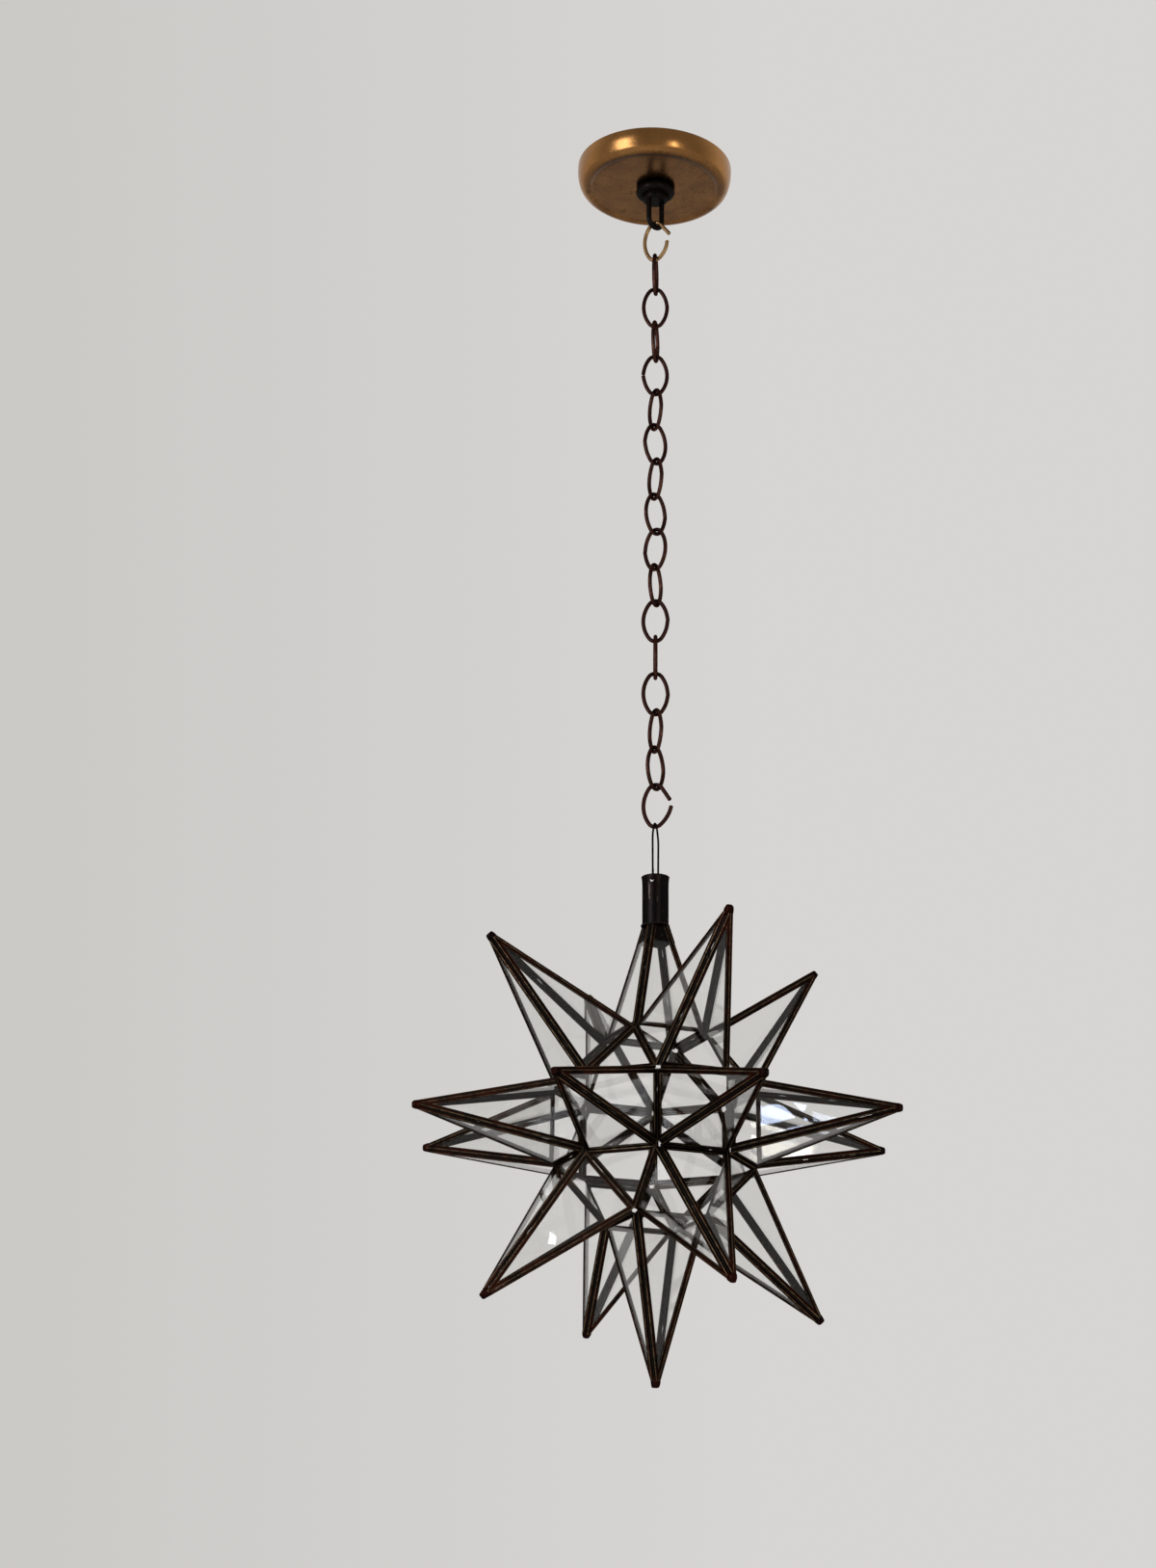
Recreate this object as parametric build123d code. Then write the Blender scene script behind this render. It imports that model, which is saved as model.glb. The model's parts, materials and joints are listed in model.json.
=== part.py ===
"""Moravian star pendant: a glass star of eighteen points on a chain under a ceiling canopy.

Millimetres, +Z up. The origin is on the ceiling plane, at the middle of the canopy, and everything
hangs below it. An azimuth is measured about Z from the front (-Y) towards +X.
"""
from build123d import *
import math
import os

os.makedirs("parts", exist_ok=True)

# Ceiling fitting
canopy_radius = 63.5
canopy_sheet = 0.9
canopy_hole_radius = 11.8
canopy_hole_depth = 17.8
canopy_lean_right = 1.93
canopy_lean_back = 1.16
canopy_shift = -0.58
canopy_profile = ((0, 0), (0, -4.0), (1.7, -13.8), (6.2, -18.75), (12.5, -18.0))
strap_length = 92.0
strap_width = 19.0
strap_sheet = 2.0
strap_screw_spacing = 70.0
strap_screw_radius = 2.2
nipple_radius = 4.85
nipple_bore_radius = 3.2
nipple_length = 28.0
nipple_chamfer = 0.5
locknut_across_flats = 15.0
locknut_height = 3.2
collar_top_z = -21.05
collar_radius = 16.0
collar_height = 6.4
collar_lower_round = 3.4
collar_upper_round = 2.2
collar_step_height = 0.5
collar_step_inset = 3.2
boss_radius = 10.3
boss_rise_in_canopy = 4.0
boss_bottom_z = -32.7
boss_round = 2.0
loop_bar = 4.2
loop_root_depth = 1.5
loop_half_width = 6.9
loop_turn = -40.0

# Chain. A link's turn is its angle about Z, with a positive turn bringing its right side nearer.
chain_wire = 3.2
link_half_width = 9.5
link_end_radius = 6.0
link_pitch = 30.7
wire_play = 0.25
fit_gap = 0.05
first_link_z = -52.9
link_turns = [25, -82, 0, -78, -3, 62, -30, 60, -37, 34, -62, 8, 90, -2, 63, -50, 15]
butt_gap = 0.3
sprung_gap = 1.6
left_joint_links = (2, 5, 7, 10)
sprung_link = 5
open_first_ends = ((12.5, 4.5), (10.5, -1.9))
open_last_ends = ((11.5, 4.0), (12.5, -1.2))
open_bow_start = -50.0

# Hanger wire
hanger_wire = 1.3
hanger_turn = -73.0
hanger_drop = 47.3
hanger_arch_radius = 4.5
hanger_arch_end = 25.0
hanger_widest = 8.2
hanger_leg = 7.3
hanger_foot_reach = 10.9
hanger_foot_bend = 1.3
hanger_shoulder_bend = 20.0

# Cap tube and boot
tube_radius = 10.1
tube_wall = 0.8
tube_length = 39.2
tube_rim_bead = 1.0
tube_hole_radius = 1.5
tube_hole_depth = 4.8
boot_height = 16.7
boot_sheet = 0.7
boot_top_hole = 7.6
boot_clearance = 0.2

# Star
star_below_tube_top = 195.0
core_edge = 56.5
tip_radius = 190.5
apex_radius = 196.0
top_apex_radius = 186.0
first_point_azimuth = 22.5
half_eighth = 22.5

# Panes and their edging
glass_thickness = 1.8
came_thickness = 2.6
came_width = 3.1
came_lip = 1.0
seam_gap = 0.24
tip_cap_length = 4.5
tip_plug_length = 8.0
tack_length = 6.0
tack_from_corner = 9.0
ridge_tack_places = (0.1, 0.42, 0.76)
ridge_tack_margin = 0.05
shortest_edge = 0.01
cut_past = 1.0

# Worked out from the sizes above
link_half_height = (link_pitch + chain_wire + wire_play) / 2
loop_bar_z = first_link_z - (loop_bar + chain_wire) / 2 - wire_play
last_wire_z = first_link_z - link_pitch * (len(link_turns) - 1) - 2 * link_half_height
hanger_apex_z = last_wire_z + (chain_wire + hanger_wire) / 2 + wire_play
hanger_foot_z = hanger_apex_z - hanger_drop
tube_hole_z = hanger_foot_z - (tube_hole_radius - hanger_wire / 2 - wire_play / 2)
tube_top_z = tube_hole_z + tube_hole_depth
tube_bottom_z = tube_top_z - tube_length
star_centre = Vector(0, 0, tube_top_z - star_below_tube_top)
square_distance = core_edge * (1 + math.sqrt(2)) / 2
half_came = came_thickness / 2
up = Vector(0, 0, 1)


def write(node, shape):
    """Writes one sub-part, or a group of separate like solids, to its own file."""
    if isinstance(shape, list):
        shape = Compound(children=shape)
    export_step(shape, f"parts/{node}.step")


def outwards(azimuth):
    """The level direction at an azimuth from the front."""
    turn = math.radians(azimuth)
    return Vector(math.sin(turn), -math.cos(turn), 0)


def turned(shape, turn):
    """Turns a shape that was made facing the front."""
    return shape.rotate(Axis.Z, -turn)


def hanging_plane(turn, z):
    """The upright plane of a link or loop: its x runs along the link's width, its y runs up."""
    width = Vector(math.cos(math.radians(turn)), -math.sin(math.radians(turn)), 0)
    return Plane(origin=(0, 0, z), x_dir=width, z_dir=width.cross(up))


# ---------------------------------------------------------------- ceiling fitting
def ceiling_canopy():
    """Spun pan: an upright rim, a wall that curves in, a rounded lower edge and a recessed bottom.

    It hangs a little askew on the loop, lower at the right and at the back, with its rim's highest
    point against the ceiling.
    """
    edge = [(canopy_radius - inwards, height) for inwards, height in canopy_profile]
    edge.append((canopy_hole_radius, -canopy_hole_depth))
    wall = Line(edge[0], edge[1])
    shoulder = TangentArc(edge[1], edge[2], tangent=wall % 1)
    roll = TangentArc(edge[2], edge[3], tangent=shoulder % 1)
    step = TangentArc(edge[3], edge[4], tangent=roll % 1)
    bottom = Line(step @ 1, edge[5])
    outer = Wire([wall, shoulder, roll, step, bottom])
    section = make_face(offset(outer, amount=canopy_sheet, side=Side.RIGHT, closed=True))
    pan = revolve(Plane.XZ * section, Axis.Z, 360)
    level = math.cos(math.radians(canopy_lean_right)) * math.cos(math.radians(canopy_lean_back))
    drop = canopy_radius * math.sqrt(1 - level**2)
    return Pos(canopy_shift, 0, -drop) * Rot(Y=canopy_lean_right) * Rot(X=-canopy_lean_back) * pan


def mounting_strap():
    """Flat strap on the ceiling box, with two screw holes and a threaded middle hole."""
    strap = Box(strap_length, strap_width, strap_sheet, align=(Align.CENTER, Align.CENTER, Align.MAX))
    strap = fillet(strap.edges().filter_by(Axis.Z), strap_width / 3)
    for side in (-1, 1):
        strap -= Pos(side * strap_screw_spacing / 2, 0, 0) * Cylinder(strap_screw_radius, 3 * strap_sheet)
    return strap - Cylinder(nipple_radius, 3 * strap_sheet)


def threaded_nipple():
    """Hollow rod from the strap down into the boss of the loop."""
    rod = Cylinder(nipple_radius, nipple_length, align=(Align.CENTER, Align.CENTER, Align.MAX))
    bore = Cylinder(nipple_bore_radius, 3 * nipple_length)
    return chamfer(rod.edges(), nipple_chamfer) - bore


def strap_locknut():
    """Hexagon nut that locks the nipple under the strap."""
    hexagon = RegularPolygon(locknut_across_flats / 2, 6, major_radius=False)
    nut = extrude(Pos(0, 0, -strap_sheet) * hexagon, -locknut_height)
    return nut - Cylinder(nipple_radius, 6 * locknut_height)


def collar_ring():
    """Thick rounded ring that is screwed up against the canopy, with a step on its underside."""
    ring = Pos(0, 0, collar_top_z) * Cylinder(
        collar_radius, collar_height, align=(Align.CENTER, Align.CENTER, Align.MAX)
    )
    ring = fillet(ring.edges().sort_by(Axis.Z)[0], collar_lower_round)
    ring = fillet(ring.edges().sort_by(Axis.Z)[-1], collar_upper_round)
    step = Cylinder(collar_radius - collar_step_inset, 2 * collar_step_height)
    step = Pos(0, 0, collar_top_z - collar_height) * step
    return (ring + step) - Cylinder(boss_radius + fit_gap, 4 * canopy_radius)


def canopy_loop():
    """Boss with a blind hole for the nipple, and the stirrup that carries the first link."""
    boss_top = collar_top_z + boss_rise_in_canopy
    boss = Cylinder(boss_radius, boss_top - boss_bottom_z, align=(Align.CENTER, Align.CENTER, Align.MIN))
    boss = fillet(boss.edges().sort_by(Axis.Z)[0], boss_round)
    boss = Pos(0, 0, boss_bottom_z) * boss
    boss -= Pos(0, 0, -nipple_length) * Cylinder(
        nipple_radius, nipple_length, align=(Align.CENTER, Align.CENTER, Align.MIN)
    )
    bend_z = loop_bar_z + loop_half_width
    root = boss_bottom_z + loop_root_depth - bend_z
    left = Line((-loop_half_width, root), (-loop_half_width, 0))
    bend = CenterArc((0, 0), loop_half_width, 180, 180)
    right = Line((loop_half_width, 0), (loop_half_width, root))
    path = hanging_plane(loop_turn, bend_z) * Wire([left, bend, right])
    section = Plane(origin=path @ 0, z_dir=path % 0) * Circle(loop_bar / 2)
    return boss + sweep(section, path)


# ---------------------------------------------------------------- chain
def side_radius():
    """Radius of a link's long sides, tangent to its two round ends."""
    rise = link_half_height - link_end_radius
    return (link_half_width**2 + rise**2 - link_end_radius**2) / (2 * (link_half_width - link_end_radius))


def closed_link_line(gap):
    """Oval of two end arcs and two side arcs, cut through by the butt joint in its right side."""
    radius = side_radius()
    rise = link_half_height - link_end_radius
    sweep_half = math.degrees(math.atan2(rise, radius - link_half_width))
    lift = math.degrees(gap / 2 / radius)
    far = radius - link_half_width
    return Wire([
        CenterArc((-far, 0), radius, -lift, -(sweep_half - lift)),
        CenterArc((0, -rise), link_end_radius, -sweep_half, -(180 - 2 * sweep_half)),
        CenterArc((far, 0), radius, 180 + sweep_half, -2 * sweep_half),
        CenterArc((0, rise), link_end_radius, 180 - sweep_half, -(180 - 2 * sweep_half)),
        CenterArc((-far, 0), radius, sweep_half, -(sweep_half - lift)),
    ])


def open_link_line(upper_end, lower_end):
    """The same oval with its right side pulled open: the upper end straightened, the lower end bowed."""
    radius = side_radius()
    rise = link_half_height - link_end_radius
    sweep_half = math.degrees(math.atan2(rise, radius - link_half_width))
    reach = Vector(upper_end[0], upper_end[1] - rise)
    leave = math.degrees(math.atan2(reach.Y, reach.X) + math.acos(link_end_radius / reach.length))
    top = CenterArc((0, rise), link_end_radius, 180 - sweep_half, -(180 - sweep_half - leave))
    lower_sweep = 180 - sweep_half + open_bow_start
    bottom = CenterArc((0, -rise), link_end_radius, open_bow_start, -lower_sweep)
    bow = TangentArc(bottom @ 0, lower_end, tangent=-(bottom % 0))
    return Wire([
        bow,
        bottom,
        CenterArc((radius - link_half_width, 0), radius, 180 + sweep_half, -2 * sweep_half),
        top,
        Line(top @ 1, upper_end),
    ])


def chain_link(number):
    """One link of round wire, at its place and turn in the hanging chain."""
    if number == 1:
        line = open_link_line(*open_first_ends)
    elif number == len(link_turns):
        line = open_link_line(*open_last_ends)
    else:
        line = closed_link_line(sprung_gap if number == sprung_link else butt_gap)
    turn = link_turns[number - 1] + (180 if number in left_joint_links else 0)
    middle = first_link_z - link_pitch * (number - 1) - link_half_height
    path = hanging_plane(turn, middle) * line
    section = Plane(origin=path @ 0, z_dir=path % 0) * Circle(chain_wire / 2)
    return sweep(section, path)


def hanger():
    """Thin wire hoop: an arch over the last link, two legs into the tube and two outward feet."""
    arch_z = hanger_apex_z - hanger_arch_radius
    arch = CenterArc((0, 0), hanger_arch_radius, hanger_arch_end, 180 - 2 * hanger_arch_end)
    start = arch @ 0
    slope = math.tan(math.radians(90 - hanger_arch_end))
    shoulder = (hanger_widest, start.Y - (hanger_widest - start.X) * slope)
    foot = hanger_foot_z - arch_z
    corners = [(hanger_foot_reach, foot), (hanger_leg, foot), shoulder, (start.X, start.Y)]
    bends = [hanger_foot_bend, hanger_shoulder_bend]
    right = FilletPolyline(*corners, radius=bends)
    left = FilletPolyline(*[(-x, y) for x, y in reversed(corners)], radius=bends[::-1])
    path = hanging_plane(hanger_turn, arch_z) * Wire(right.edges() + [arch] + left.edges())
    section = Plane(origin=path @ 0, z_dir=path % 0) * Circle(hanger_wire / 2)
    return sweep(section, path)


# ---------------------------------------------------------------- cap tube and boot
def cap_tube():
    """Tube with a rolled rim, and two opposite holes that take the feet of the hanger wire."""
    outer = Pos(0, 0, tube_bottom_z) * Cylinder(
        tube_radius, tube_length, align=(Align.CENTER, Align.CENTER, Align.MIN)
    )
    rim = Pos(0, 0, tube_top_z - tube_rim_bead) * Torus(tube_radius, tube_rim_bead)
    tube = outer + rim - Cylinder(tube_radius - tube_wall, 4 * abs(tube_bottom_z))
    drill = Cylinder(tube_hole_radius, 4 * tube_radius)
    cross = hanging_plane(hanger_turn, tube_hole_z)
    return tube - Plane(origin=cross.origin, z_dir=cross.x_dir) * drill


def top_face_lean():
    """Lean of the top point's panes from the vertical."""
    return math.atan2(core_edge / 2, top_apex_radius - square_distance)


def square_frustum(grow, low, high):
    """Four-sided frustum that follows the top point's panes, moved outwards by grow."""
    lean = top_face_lean()

    def square(z):
        half = (top_apex_radius - (z - star_centre.Z)) * math.tan(lean) + grow / math.cos(lean)
        return Pos(0, 0, z) * Rot(0, 0, first_point_azimuth) * Rectangle(2 * half, 2 * half)

    return loft([square(low), square(high)])


def cap_boot():
    """Sheet apron round the top point's cut end, closed above by a holed plate for the tube."""
    low = tube_bottom_z - boot_height
    shell = square_frustum(half_came + boot_sheet, low, tube_bottom_z)
    hollow = square_frustum(half_came, low - cut_past, tube_bottom_z - boot_sheet)
    return shell - hollow - Pos(0, 0, tube_bottom_z) * Cylinder(boot_top_hole, 2 * boot_sheet + cut_past)


# ---------------------------------------------------------------- star
class Pane:
    """A flat pane: the middle of its base edge, its outward normal, its sizes and its insets."""

    def __init__(self, middle, apex, normal, base_inset, side_inset, reach):
        self.middle = middle
        self.height = (apex - middle).length
        self.rise = (apex - middle).normalized()
        self.normal = normal
        self.along = self.rise.cross(normal)
        self.base_inset = base_inset
        self.side_inset = side_inset
        self.reach = reach
        self.half_apex = math.atan2(core_edge / 2, self.height)
        self.apex = apex

    def outline(self, shrink, reach):
        """The pane's triangle, taken in by its insets and by shrink, and cut off at reach."""
        base = self.base_inset + shrink
        slope = math.tan(self.half_apex)
        side = (self.side_inset + shrink) / math.cos(self.half_apex)
        top = min(reach, self.height - side / slope)
        low = (self.height - base) * slope - side
        high = (self.height - top) * slope - side
        corners = [(-low, base), (low, base), (high, top)]
        if high > shortest_edge:
            corners.append((-high, top))
        return make_face(Polyline(*corners, close=True))

    def slab(self, shrink, thickness, reach):
        return extrude(self.outline(shrink, reach), thickness / 2, both=True)

    def place(self, shape):
        """Moves a shape from the pane's own axes to the star."""
        return Plane(origin=self.middle, x_dir=self.along, z_dir=self.normal) * shape

    def glass(self):
        return self.place(self.slab(came_lip, glass_thickness, self.reach - came_lip))

    def frame(self):
        """The came: a U-shaped strip round the pane, with its corners mitred."""
        ring = self.slab(0, came_thickness, self.reach)
        ring -= self.slab(came_width, 2 * came_thickness, self.reach + cut_past)
        return self.place(ring - self.slab(came_lip, glass_thickness, self.reach - came_lip))

    def edges(self):
        """The three edges: start, end, the direction into the pane, and the inset of the came."""
        half = self.along * (core_edge / 2)
        left, right = self.middle - half, self.middle + half
        yield left, right, self.rise, self.base_inset
        for corner in (left, right):
            run = (self.apex - corner).normalized()
            inward = (self.middle - corner) - run * (self.middle - corner).dot(run)
            yield corner, self.apex, inward.normalized(), self.side_inset


def inset_between(angle):
    """How far two cames that meet at an angle stop short of the line where their panes meet."""
    return half_came / math.tan(math.radians(angle) / 2) + seam_gap / 2


def pane_slope(apex):
    """Angle between a point's panes and its base, in degrees."""
    return math.degrees(math.atan2(apex - square_distance, core_edge / 2))


def ridge_inset(apex):
    slope = math.radians(pane_slope(apex))
    return inset_between(180 - math.degrees(math.acos(math.cos(slope) ** 2)))


square_to_square = 135.0
square_to_triangle = math.degrees(math.pi - math.acos(math.sqrt(2 / 3)))
valley_inset = inset_between(360 - square_to_square - 2 * pane_slope(apex_radius))
corner_inset = inset_between(360 - square_to_triangle - pane_slope(apex_radius))


def point_panes(axis, first, insets, apex, reach_radius):
    """Four panes of one point. first is a direction across its base; insets go round from it."""
    second = axis.cross(first)
    lean = math.radians(90 - pane_slope(apex))
    panes = []
    for across, inset in zip((first, second, first * -1, second * -1), insets):
        middle = star_centre + axis * square_distance + across * (core_edge / 2)
        normal = across * math.cos(lean) + axis * math.sin(lean)
        reach = (reach_radius - square_distance) / math.cos(lean) - half_came * math.tan(lean)
        panes.append(Pane(middle, star_centre + axis * apex, normal, inset, ridge_inset(apex), reach))
    return panes


def corner_panes():
    """The eight flat triangles between the points."""
    panes = []
    corner_radius = core_edge / (2 * math.sin(math.radians(half_eighth)))
    for level in (1, -1):
        for quarter in range(4):
            azimuth = first_point_azimuth + 2 * half_eighth + 90 * quarter
            left = outwards(azimuth - half_eighth) * corner_radius + up * (level * core_edge / 2)
            right = outwards(azimuth + half_eighth) * corner_radius + up * (level * core_edge / 2)
            tip = outwards(azimuth) * (core_edge / math.sqrt(2)) + up * (level * square_distance)
            normal = (left + right + tip).normalized()
            middle = star_centre + (left + right) * 0.5
            height = core_edge * math.sqrt(3) / 2
            panes.append(Pane(middle, star_centre + tip, normal, corner_inset, corner_inset, height))
    return panes


def tip_cap(axis, first):
    """Blunt solder cap on a point, with a plug down between the four cames."""
    lean = math.radians(90 - pane_slope(apex_radius))

    def square(radius, grow):
        half = (apex_radius - radius) * math.tan(lean) + grow / math.cos(lean)
        across = Plane(origin=star_centre + axis * radius, x_dir=first, z_dir=axis)
        return across * Rectangle(2 * half, 2 * half)

    foot = tip_radius - tip_cap_length
    cap = loft([square(foot, half_came), square(tip_radius, half_came)])
    plug = loft([square(foot - tip_plug_length, -half_came), square(foot, -half_came)])
    return cap + plug


def seam_tacks(panes):
    """Small solder wedges that join neighbouring cames, a few along every seam."""
    seams = {}
    for pane in panes:
        for start, end, inward, inset in pane.edges():
            middle = (start + end) * 0.5
            key = (round(middle.X, 1), round(middle.Y, 1), round(middle.Z, 1))
            seams.setdefault(key, []).append((start, end, inward, inset, pane))
    tacks = {"ridge": [], "valley": []}
    for sides in seams.values():
        (start, end, inward, inset, pane), (_, _, inward_2, inset_2, pane_2) = sides
        run = (end - start).normalized()
        length = (end - start).length
        corners = [
            inward * inset - pane.normal * half_came,
            inward * inset + pane.normal * half_came,
            inward_2 * inset_2 + pane_2.normal * half_came,
            inward_2 * inset_2 - pane_2.normal * half_came,
        ]
        if length > core_edge + cut_past:
            kind = "ridge"
            limit = min(pane.reach, pane_2.reach) / pane.height
            places = [share * length for share in ridge_tack_places if share < limit - ridge_tack_margin]
        else:
            kind = "valley"
            places = [tack_from_corner, length - tack_from_corner - tack_length]
        for place in places:
            outline = Polyline(*[start + run * place + corner for corner in corners], close=True)
            tacks[kind].append(extrude(make_face(outline), tack_length, dir=run))
    return tacks


def star():
    """Every pane, came, tack and tip cap of the star, as named groups."""
    panes = {}
    axes = {}
    cut = tube_bottom_z - boot_sheet - boot_clearance - star_centre.Z
    blunt = tip_radius - tip_cap_length
    all_square = (valley_inset,) * 4
    two_corners = (valley_inset, corner_inset, valley_inset, corner_inset)
    corners_first = (corner_inset, valley_inset, corner_inset, valley_inset)
    front = outwards(first_point_azimuth)
    panes["top"] = point_panes(up, front, all_square, top_apex_radius, cut)
    panes["bottom"] = point_panes(up * -1, front, all_square, apex_radius, blunt)
    axes["bottom"] = (up * -1, front)
    for quarter in range(4):
        side = outwards(first_point_azimuth + 90 * quarter)
        for level, name in ((1, "upper"), (-1, "lower")):
            axis = (side + up * level).normalized()
            first = (up * level - side).normalized()
            key = f"{name}_{quarter + 1}"
            panes[key] = point_panes(axis, first, two_corners, apex_radius, blunt)
            axes[key] = (axis, first)
    for eighth in range(8):
        axis = outwards(first_point_azimuth + 2 * half_eighth * eighth)
        insets = all_square if eighth % 2 == 0 else corners_first
        key = f"belt_{eighth + 1}"
        panes[key] = point_panes(axis, up, insets, apex_radius, blunt)
        axes[key] = (axis, up)
    return panes, axes


write("ceiling_canopy", ceiling_canopy())
write("mounting_strap", mounting_strap())
write("threaded_nipple", threaded_nipple())
write("strap_locknut", strap_locknut())
write("collar_ring", collar_ring())
write("canopy_loop", canopy_loop())
for number in range(1, len(link_turns) + 1):
    write(f"chain_link_{number:02d}", chain_link(number))
write("hanger_wire", hanger())
write("cap_tube", cap_tube())
write("cap_boot", cap_boot())

point_groups, point_axes = star()
corners = corner_panes()
for key, panes in point_groups.items():
    write(f"point_{key}_frame", [pane.frame() for pane in panes])
write("corner_pane_frames", [pane.frame() for pane in corners])
for tier in ("top", "upper", "belt", "lower", "bottom"):
    members = [pane for key, panes in point_groups.items() if key.startswith(tier) for pane in panes]
    write(f"glass_{tier}", [pane.glass() for pane in members])
write("glass_corners", [pane.glass() for pane in corners])
write("tip_solder_caps", [tip_cap(*axes) for axes in point_axes.values()])
every_pane = [pane for panes in point_groups.values() for pane in panes] + corners
tacks = seam_tacks(every_pane)
write("ridge_solder", tacks["ridge"])
write("valley_solder", tacks["valley"])
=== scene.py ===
"""Looks of the moravian star pendant: brass canopy, copper chain, dark cames, clear panes and
solder.

Metres, +Z up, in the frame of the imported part. The origin is on the ceiling plane, in the middle
of the canopy. An azimuth is measured about Z from the front (-Y) towards +X.
"""
import json
import math

import bmesh
import bpy
import numpy as np
from bpy.props import FloatProperty, FloatVectorProperty, IntProperty, PointerProperty
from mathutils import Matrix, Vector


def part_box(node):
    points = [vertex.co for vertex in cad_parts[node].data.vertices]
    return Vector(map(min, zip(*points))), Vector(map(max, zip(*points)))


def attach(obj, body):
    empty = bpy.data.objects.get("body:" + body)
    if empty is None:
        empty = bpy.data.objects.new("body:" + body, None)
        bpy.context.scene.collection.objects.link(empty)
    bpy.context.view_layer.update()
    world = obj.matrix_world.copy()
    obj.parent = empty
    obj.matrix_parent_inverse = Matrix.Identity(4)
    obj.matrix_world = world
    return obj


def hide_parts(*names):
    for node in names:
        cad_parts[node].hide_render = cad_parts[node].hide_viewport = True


bl_info = {
    "name": "Moravian star pendant",
    "version": (1, 0, 0),
    "blender": (4, 5, 0),
    "location": "3D View > Sidebar > Pendant",
    "description": "Makes the pendant's canopy, chain, hanger, cap, cames, panes and solder",
    "category": "Object",
}

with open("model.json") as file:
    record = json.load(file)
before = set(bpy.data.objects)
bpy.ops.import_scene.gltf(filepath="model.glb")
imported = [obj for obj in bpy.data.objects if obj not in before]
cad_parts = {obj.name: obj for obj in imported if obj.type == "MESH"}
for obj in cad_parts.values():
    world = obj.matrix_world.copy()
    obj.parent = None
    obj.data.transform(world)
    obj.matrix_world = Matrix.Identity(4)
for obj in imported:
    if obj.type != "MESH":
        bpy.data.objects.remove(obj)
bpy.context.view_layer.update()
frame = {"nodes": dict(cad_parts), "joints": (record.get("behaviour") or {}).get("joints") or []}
MM = 0.001
UP = np.array([0.0, 0.0, 1.0])
TIERS = ("top", "upper", "belt", "lower", "bottom")
LINK_COUNT = sum(name.startswith("chain_link_") for name in frame["nodes"])
LEFT_JOINT_LINKS = (2, 5, 7, 10)
SPRUNG_LINK = 5
FOOT_RADIUS = 0.65 * MM
FOOT_PLAY = 0.125 * MM
FIRST_AZIMUTH = 22.5
# Radii over which the canopy's outer wall goes over to its painted lighter colour.
WALL_STARTS, WALL_ENDS = 0.0565, 0.061
BOOT_CORNERS, TIP_CORNERS = 14.0, 4.5


def linear(code):
    """A hex sRGB colour as linear red, green and blue: each channel goes through the sRGB curve."""
    channels = np.array([int(code[i:i + 2], 16) for i in (1, 3, 5)]) / 255
    curve = np.where(channels <= 0.04045, channels / 12.92, ((channels + 0.055) / 1.055) ** 2.4)
    return tuple(float(value) for value in curve)


# ---------------------------------------------------------------- sizes and colours
def length(name, millimetres, about):
    return FloatProperty(name=name, description=about, default=millimetres * MM, unit="LENGTH",
                         precision=5)


def colour(name, code, about):
    return FloatVectorProperty(name=name, description=about, default=linear(code), subtype="COLOR",
                               size=3, min=0.0, max=1.0)


class PendantFittingSizes(bpy.types.PropertyGroup):
    """Sizes of the canopy, collar, loop, nipple and locknut."""
    canopy_radius: length("Canopy radius", 63.5, "Radius of the canopy's rim")
    canopy_hole_depth: length("Canopy hole depth", 17.8, "From the rim's plane to the middle hole")
    canopy_sheet: length("Canopy sheet", 0.9, "Thickness of the spun brass")
    canopy_hole: length("Canopy hole", 11.8, "Radius of the middle hole")
    canopy_shift: length("Canopy shift", -0.58, "How far the canopy has slid to the right")
    lean_right: FloatProperty(name="Lean right",
                              description="How much the canopy hangs down at the right",
                              default=math.radians(1.93), unit="ROTATION")
    lean_back: FloatProperty(name="Lean back",
                             description="How much the canopy hangs down at the back",
                             default=math.radians(1.16), unit="ROTATION")
    collar_top: length("Collar top", -21.05, "Height of the collar's upper face")
    collar_radius: length("Collar radius", 16.0, "Outer radius of the ring under the canopy")
    collar_height: length("Collar height", 6.4, "Height of the ring under the canopy")
    boss_radius: length("Boss radius", 10.3, "Radius of the boss that carries the loop")
    boss_bottom: length("Boss bottom", -32.7, "Height of the boss's lower face")
    loop_bar: length("Loop bar", 4.2, "Diameter of the loop's bar")
    loop_half_width: length("Loop half width", 6.9, "From the axis to the middle of the loop's leg")
    nipple_radius: length("Nipple radius", 4.85, "Outer radius of the threaded nipple")
    nipple_bore: length("Nipple bore", 3.2, "Radius of the nipple's bore")
    thread_pitch: length("Thread pitch", 1.4, "Pitch of the lamp thread")
    thread_depth: length("Thread depth", 0.45, "Depth of the lamp thread")
    nut_flats: length("Nut across flats", 15.0, "Width of the locknut across its flats")


class PendantChainSizes(bpy.types.PropertyGroup):
    """Sizes of the chain's links and of the hanger wire."""
    wire: length("Chain wire", 3.2, "Diameter of the chain's wire")
    half_width: length("Link half width", 9.5, "From a link's axis to the middle of its side")
    end_radius: length("Link end radius", 6.0,
                       "Radius of a link's round ends, at the wire's middle")
    butt_gap: length("Butt gap", 0.1, "Gap where a link's wire ends meet")
    sprung_gap: length("Sprung gap", 1.6, "The same gap in the one link that has sprung open")
    hanger_wire: length("Hanger wire", 1.6, "Diameter of the hanger wire")
    hanger_arch: length("Hanger arch", 4.5, "Radius of the hanger's arch")
    hanger_widest: length("Hanger widest", 8.2, "Half width of the hanger below its arch")
    hanger_leg: length("Hanger leg", 7.3, "Half width of the hanger at its feet")
    hanger_foot: length("Hanger foot", 10.9, "How far the hanger's feet reach from the axis")
    wire_sides: IntProperty(name="Wire sides", description="Faces round a chain link's wire",
                            default=20, min=8)


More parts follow.
